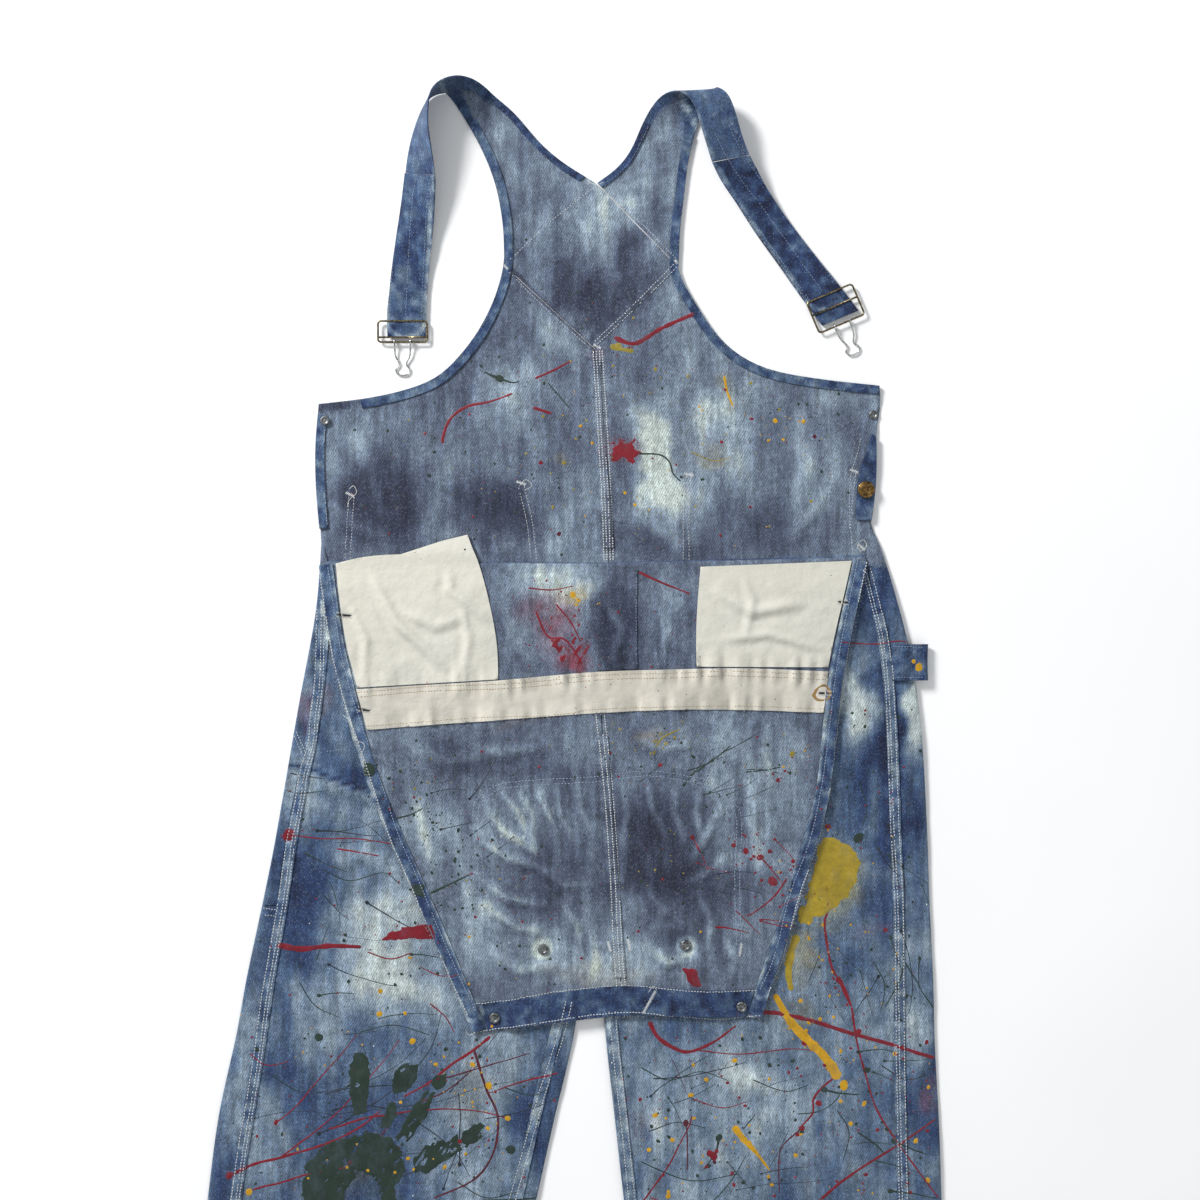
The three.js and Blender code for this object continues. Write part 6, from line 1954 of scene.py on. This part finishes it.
def revolved(profile, middle, base):
    """A heap with a profile (radius, height) in millimetres turned about an upright axis."""
    heap = Heap()
    points = [Vector((middle.x, middle.y, base + profile[0][1] * MM))]
    for radius, height in profile[1:-1]:
        for cos, sin in circle(SPOKES):
            points.append(Vector((
                middle.x + radius * MM * cos, middle.y + radius * MM * sin, base + height * MM,
            )))
    points.append(Vector((middle.x, middle.y, base + profile[-1][1] * MM)))
    starts = [1 + r * SPOKES for r in range(len(profile) - 2)]
    faces = [(0, 1 + (k + 1) % SPOKES, 1 + k) for k in range(SPOKES)]
    for first, second in zip(starts[:-1], starts[1:]):
        faces += between_rings(first, second, SPOKES)
    top, last = starts[-1], len(points) - 1
    faces += [(top + k, top + (k + 1) % SPOKES, last) for k in range(SPOKES)]
    heap.add(points, faces)
    return heap


# Shares of the radius and of the height
TACK_PROFILE = [
    (0, 0), (0.96, 0), (1, 0.08), (1, 0.5), (0.97, 0.74), (0.91, 0.93), (0.84, 1), (0.66, 1),
    (0.6, 0.92), (0.54, 0.7), (0.48, 0.6), (0.26, 0.56), (0.2, 0.62), (0.1, 0.66), (0, 0.66),
]
BUTTON_PROFILE = [
    (0, 0), (0.55, 0), (0.6, 0.27), (0.92, 0.35), (0.98, 0.43), (1, 0.52), (0.98, 0.62),
    (0.92, 0.73), (0.86, 0.79), (0.82, 0.775), (0.78, 0.8), (0.7, 0.87), (0.55, 0.93),
    (0.36, 0.975), (0.2, 0.995), (0, 1),
]
TURNED = [
    # node, profile, material, slot
    ("bib_button_left", TACK_PROFILE, "steel", "brass"),
    ("bib_button_right", TACK_PROFILE, "steel", "brass"),
    ("bib_rivet_left", TACK_PROFILE, "steel", "steel"),
    ("bib_rivet_right", TACK_PROFILE, "steel", "steel"),
    ("side_rivet_left", TACK_PROFILE, "steel", "steel"),
    ("side_rivet_right", TACK_PROFILE, "steel", "steel"),
    ("side_button_right", BUTTON_PROFILE, "brass", "brass"),
]
SLIDES = [
    # side, middle of the hook's bar x and y, turn in degrees, other bars along the strap
    ("left", -148.0, 515.3, 0, (4.8, 21.0)),
    ("right", 290.5, 533.6, 23, (19.0, 33.0)),
]
# Sizes in millimetres; wires by their radius
SLIDE_HALF = 24.5
SLIDE_LEVEL = 4.1
SLIDE_CORNER = 3.2
SLIDE_WIRE = 1.0
WIRE_SIDES = 14
HOOK_WIRE = 0.9
EYE_WIRE = 0.8
EYE_RADIUS = 2.2
EYE_X = 8
HOOK_HALF = [
    (8, -2.3, 4.1), (7.8, -7, 3.3), (7, -14, 2.3), (3.7, -21.5, 1.5), (6.9, -27, 1.3),
    (5, -31.5, 1.3),
]
HOOK_END = (0, -33, 1.3)


def add_tube(heap, path, radius, closed=False):
    """A round wire along a path, all in millimetres, its section carried without twisting."""
    path = [Vector(p) for p in path]
    count = len(path)
    across = None
    points = []
    for i, place in enumerate(path):
        after = path[(i + 1) % count] if closed or i < count - 1 else place
        before = path[i - 1] if closed or i > 0 else place
        forward = (after - before).normalized()
        if across is None:
            across = forward.orthogonal()
        across = (across - forward * across.dot(forward)).normalized()
        up = forward.cross(across)
        for cos, sin in circle(WIRE_SIDES):
            points.append((place + radius * (cos * across + sin * up)) * MM)
    faces = []
    for i in range(count if closed else count - 1):
        faces += between_rings(i * WIRE_SIDES, (i + 1) % count * WIRE_SIDES, WIRE_SIDES)
    if not closed:
        faces.append(tuple(range(WIRE_SIDES)))
        faces.append(tuple(reversed(range((count - 1) * WIRE_SIDES, count * WIRE_SIDES))))
    heap.add(points, faces)


def rounded_frame(low, high):
    """A closed path round the slide, with soft corners."""
    path = []
    corners = [
        # middle of the corner's arc, and the angle at which it starts
        (SLIDE_HALF - SLIDE_CORNER, low + SLIDE_CORNER, 270),
        (SLIDE_HALF - SLIDE_CORNER, high - SLIDE_CORNER, 0),
        (SLIDE_CORNER - SLIDE_HALF, high - SLIDE_CORNER, 90),
        (SLIDE_CORNER - SLIDE_HALF, low + SLIDE_CORNER, 180),
    ]
    for x, y, start in corners:
        for k in range(7):
            angle = math.radians(start + 15 * k)
            path.append((
                x + SLIDE_CORNER * math.cos(angle), y + SLIDE_CORNER * math.sin(angle), SLIDE_LEVEL,
            ))
    return path


def placed(heap, x, y, turn):
    """Turn a heap about Z and set it at its place, in millimetres."""
    cos, sin = math.cos(math.radians(turn)), math.sin(math.radians(turn))
    heap.points = [
        Vector((p.x * cos - p.y * sin + x * MM, p.x * sin + p.y * cos + y * MM, p.z))
        for p in heap.points
    ]


def slide_heap(bars):
    heap = Heap()
    add_tube(heap, rounded_frame(0, max(bars)), SLIDE_WIRE, closed=True)
    for y in bars:
        if y != max(bars):
            add_tube(heap, [(-SLIDE_HALF, y, SLIDE_LEVEL), (SLIDE_HALF, y, SLIDE_LEVEL)], SLIDE_WIRE)
    return heap


def hook_heap():
    heap = Heap()
    other = [(-x, y, z) for x, y, z in reversed(HOOK_HALF)]
    add_tube(heap, eased([*HOOK_HALF, HOOK_END, *other], 0.8), HOOK_WIRE)
    for x in (-EYE_X, EYE_X):
        ring = [(x, EYE_RADIUS * cos, SLIDE_LEVEL + EYE_RADIUS * sin) for cos, sin in circle(24)]
        add_tube(heap, ring, EYE_WIRE, closed=True)
    return heap


def hardware():
    metals = {
        "brass": metal("old_brass", (150, 118, 70), (74, 58, 40), 0.38),
        "steel": metal("grey_rivet", (150, 152, 150), (78, 80, 84), 0.42),
        "slide": metal("slide_brass", (152, 138, 108), (70, 62, 52), 0.32),
        "wire": metal("hook_wire", (226, 226, 222), (150, 150, 150), 0.24),
    }
    for node, shares, finish, slot in TURNED:
        low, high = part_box(node)
        radius = (high.x - low.x) / 2 / MM
        height = (high.z - low.z) / MM
        profile = [(r * radius, h * height) for r, h in shares]
        heap = revolved(profile, (low + high) / 2, low.z)
        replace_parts(heap.piece(node + "_metal", metals[finish], slot), node)
    for side, x, y, turn, bars in SLIDES:
        heap = slide_heap(bars)
        placed(heap, x, y, turn)
        slide = heap.piece("buckle_" + side + "_metal", metals["slide"], "brass")
        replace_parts(slide, "buckle_" + side)
        heap = hook_heap()
        placed(heap, x, y, turn)
        hook = heap.piece("hook_" + side + "_metal", metals["wire"], "wire", "hook_" + side)
        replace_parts(hook, "hook_" + side)


hardware()


# The cut of each sheet of cloth, as it lay before it was sewn

SHEETS = [
    # node, flat width and length and area in metres, held, what it rests on, its own trims
    (
        "back_left", 0.40, 1.37, 0.428, "laid", (),
        ("side_hem_left", "armhole_binding_left", "back_centre_seam"),
    ),
    (
        "back_right", 0.40, 1.36, 0.430, "laid", (),
        ("button_stand_right", "armhole_binding_right", "hammer_loop"),
    ),
    (
        "front_left", 0.315, 1.22, 0.323, "folded", ("back_left",),
        ("side_seam_left", "inseam_left", "rule_pocket", "front_hem_left"),
    ),
    (
        "front_right", 0.302, 1.20, 0.320, "folded", ("back_right",),
        ("side_seam_right", "inseam_right", "front_hem_right"),
    ),
    ("bib_left", 0.248, 0.382, 0.067, "folded", ("front_left",), ("bib_centre_seam", "bib_hem")),
    ("bib_right", 0.241, 0.350, 0.0635, "folded", ("front_right",), ()),
    ("bib_pocket_left", 0.123, 0.175, 0.0198, "laid", ("front_left",), ()),
    ("bib_pocket_right", 0.136, 0.190, 0.0194, "laid", ("front_right",), ()),
    ("back_pocket_left", 0.192, 0.205, 0.0359, "laid", (), ()),
    ("back_pocket_right", 0.172, 0.215, 0.0337, "laid", (), ()),
    ("shoulder_left", 0.125, 0.296, 0.0286, "folded", ("back_left",), ("neck_binding_left",)),
    (
        "shoulder_right", 0.113, 0.169, 0.0121, "folded", ("back_right",),
        ("neck_binding_right",),
    ),
    ("strap_left", 0.041, 0.164, 0.0060, "laid", (), ()),
    ("strap_right", 0.040, 0.204, 0.0068, "laid", (), ()),
    ("waistband_facing", 0.041, 0.469, 0.0187, "laid", ("bib_left", "bib_right"), ()),
    ("fly_facing", 0.045, 0.103, 0.0042, "laid", ("bib_left", "bib_right"), ()),
    ("pocket_bag_left", 0.190, 0.178, 0.0195, "laid", ("bib_left",), ()),
    ("pocket_bag_right", 0.126, 0.175, 0.0145, "laid", ("bib_right",), ()),
]
for node, width, length, area, held, under, trims in SHEETS:
    [PIECES[name] for name in under]
    [PIECES[name] for name in trims]


# Floor, light and camera

FLOOR_HALF = 4.0
FLOOR_DROP = 0.0004
# The camera sees a square of WINDOW metres at the floor
WINDOW = 1.2
LENS = 50.0
SENSOR = 36.0
SKY_COLOUR = (0.94, 0.97, 1.0, 1)
SKY_STRENGTH = 0.46
LIGHTS = [
    # name, place, width and height, watts
    ("key", (-2.2, 2.4, 1.9), (0.9, 0.9), 165),
    ("fill", (1.6, -0.6, 2.0), (2.0, 2.0), 9),
]
LIGHT_AIM = Vector((0.05, 0.2, 0))


def stage():
    bm = bmesh.new()
    bmesh.ops.create_grid(bm, x_segments=2, y_segments=2, size=FLOOR_HALF)
    mesh = bpy.data.meshes.new("floor")
    bm.to_mesh(mesh)
    bm.free()
    material, tree, shader, where = new_material("floor", 0.9)
    tint = noise_texture(tree, where, 3.0)
    white = in_range(tree, tint, 0.3, 0.7, 0.93, 0.96)
    colour = add_node(tree, "ShaderNodeCombineColor", {"Red": white, "Green": white, "Blue": white})
    tree.links.new(colour.outputs[0], shader.inputs["Base Color"])
    mesh.materials.append(material)
    floor = linked("floor", mesh)
    floor.location.z = -FLOOR_DROP


def area_light(name, place, size, power):
    data = bpy.data.lights.new(name, "AREA")
    data.shape = "RECTANGLE"
    data.size, data.size_y = size
    data.energy = power
    lamp = linked(name, data)
    lamp.location = place
    direction = LIGHT_AIM - Vector(place)
    lamp.rotation_euler = direction.to_track_quat("-Z", "Y").to_euler()


def light():
    world = bpy.data.worlds.new("studio")
    world.use_nodes = True
    background = world.node_tree.nodes["Background"]
    background.inputs["Color"].default_value = SKY_COLOUR
    background.inputs["Strength"].default_value = SKY_STRENGTH
    bpy.context.scene.world = world
    for row in LIGHTS:
        area_light(*row)
    bpy.context.scene.view_settings.view_transform = "Standard"


def camera():
    data = bpy.data.cameras.new("camera")
    data.lens = LENS
    data.sensor_width = SENSOR
    data.clip_end = 20
    eye = linked("camera", data)
    middle = spot(PLAN_SIZE / 2, PLAN_SIZE / 2)
    eye.location = (middle.x, middle.y, WINDOW * LENS / SENSOR)
    bpy.context.scene.camera = eye


stage()
light()
camera()
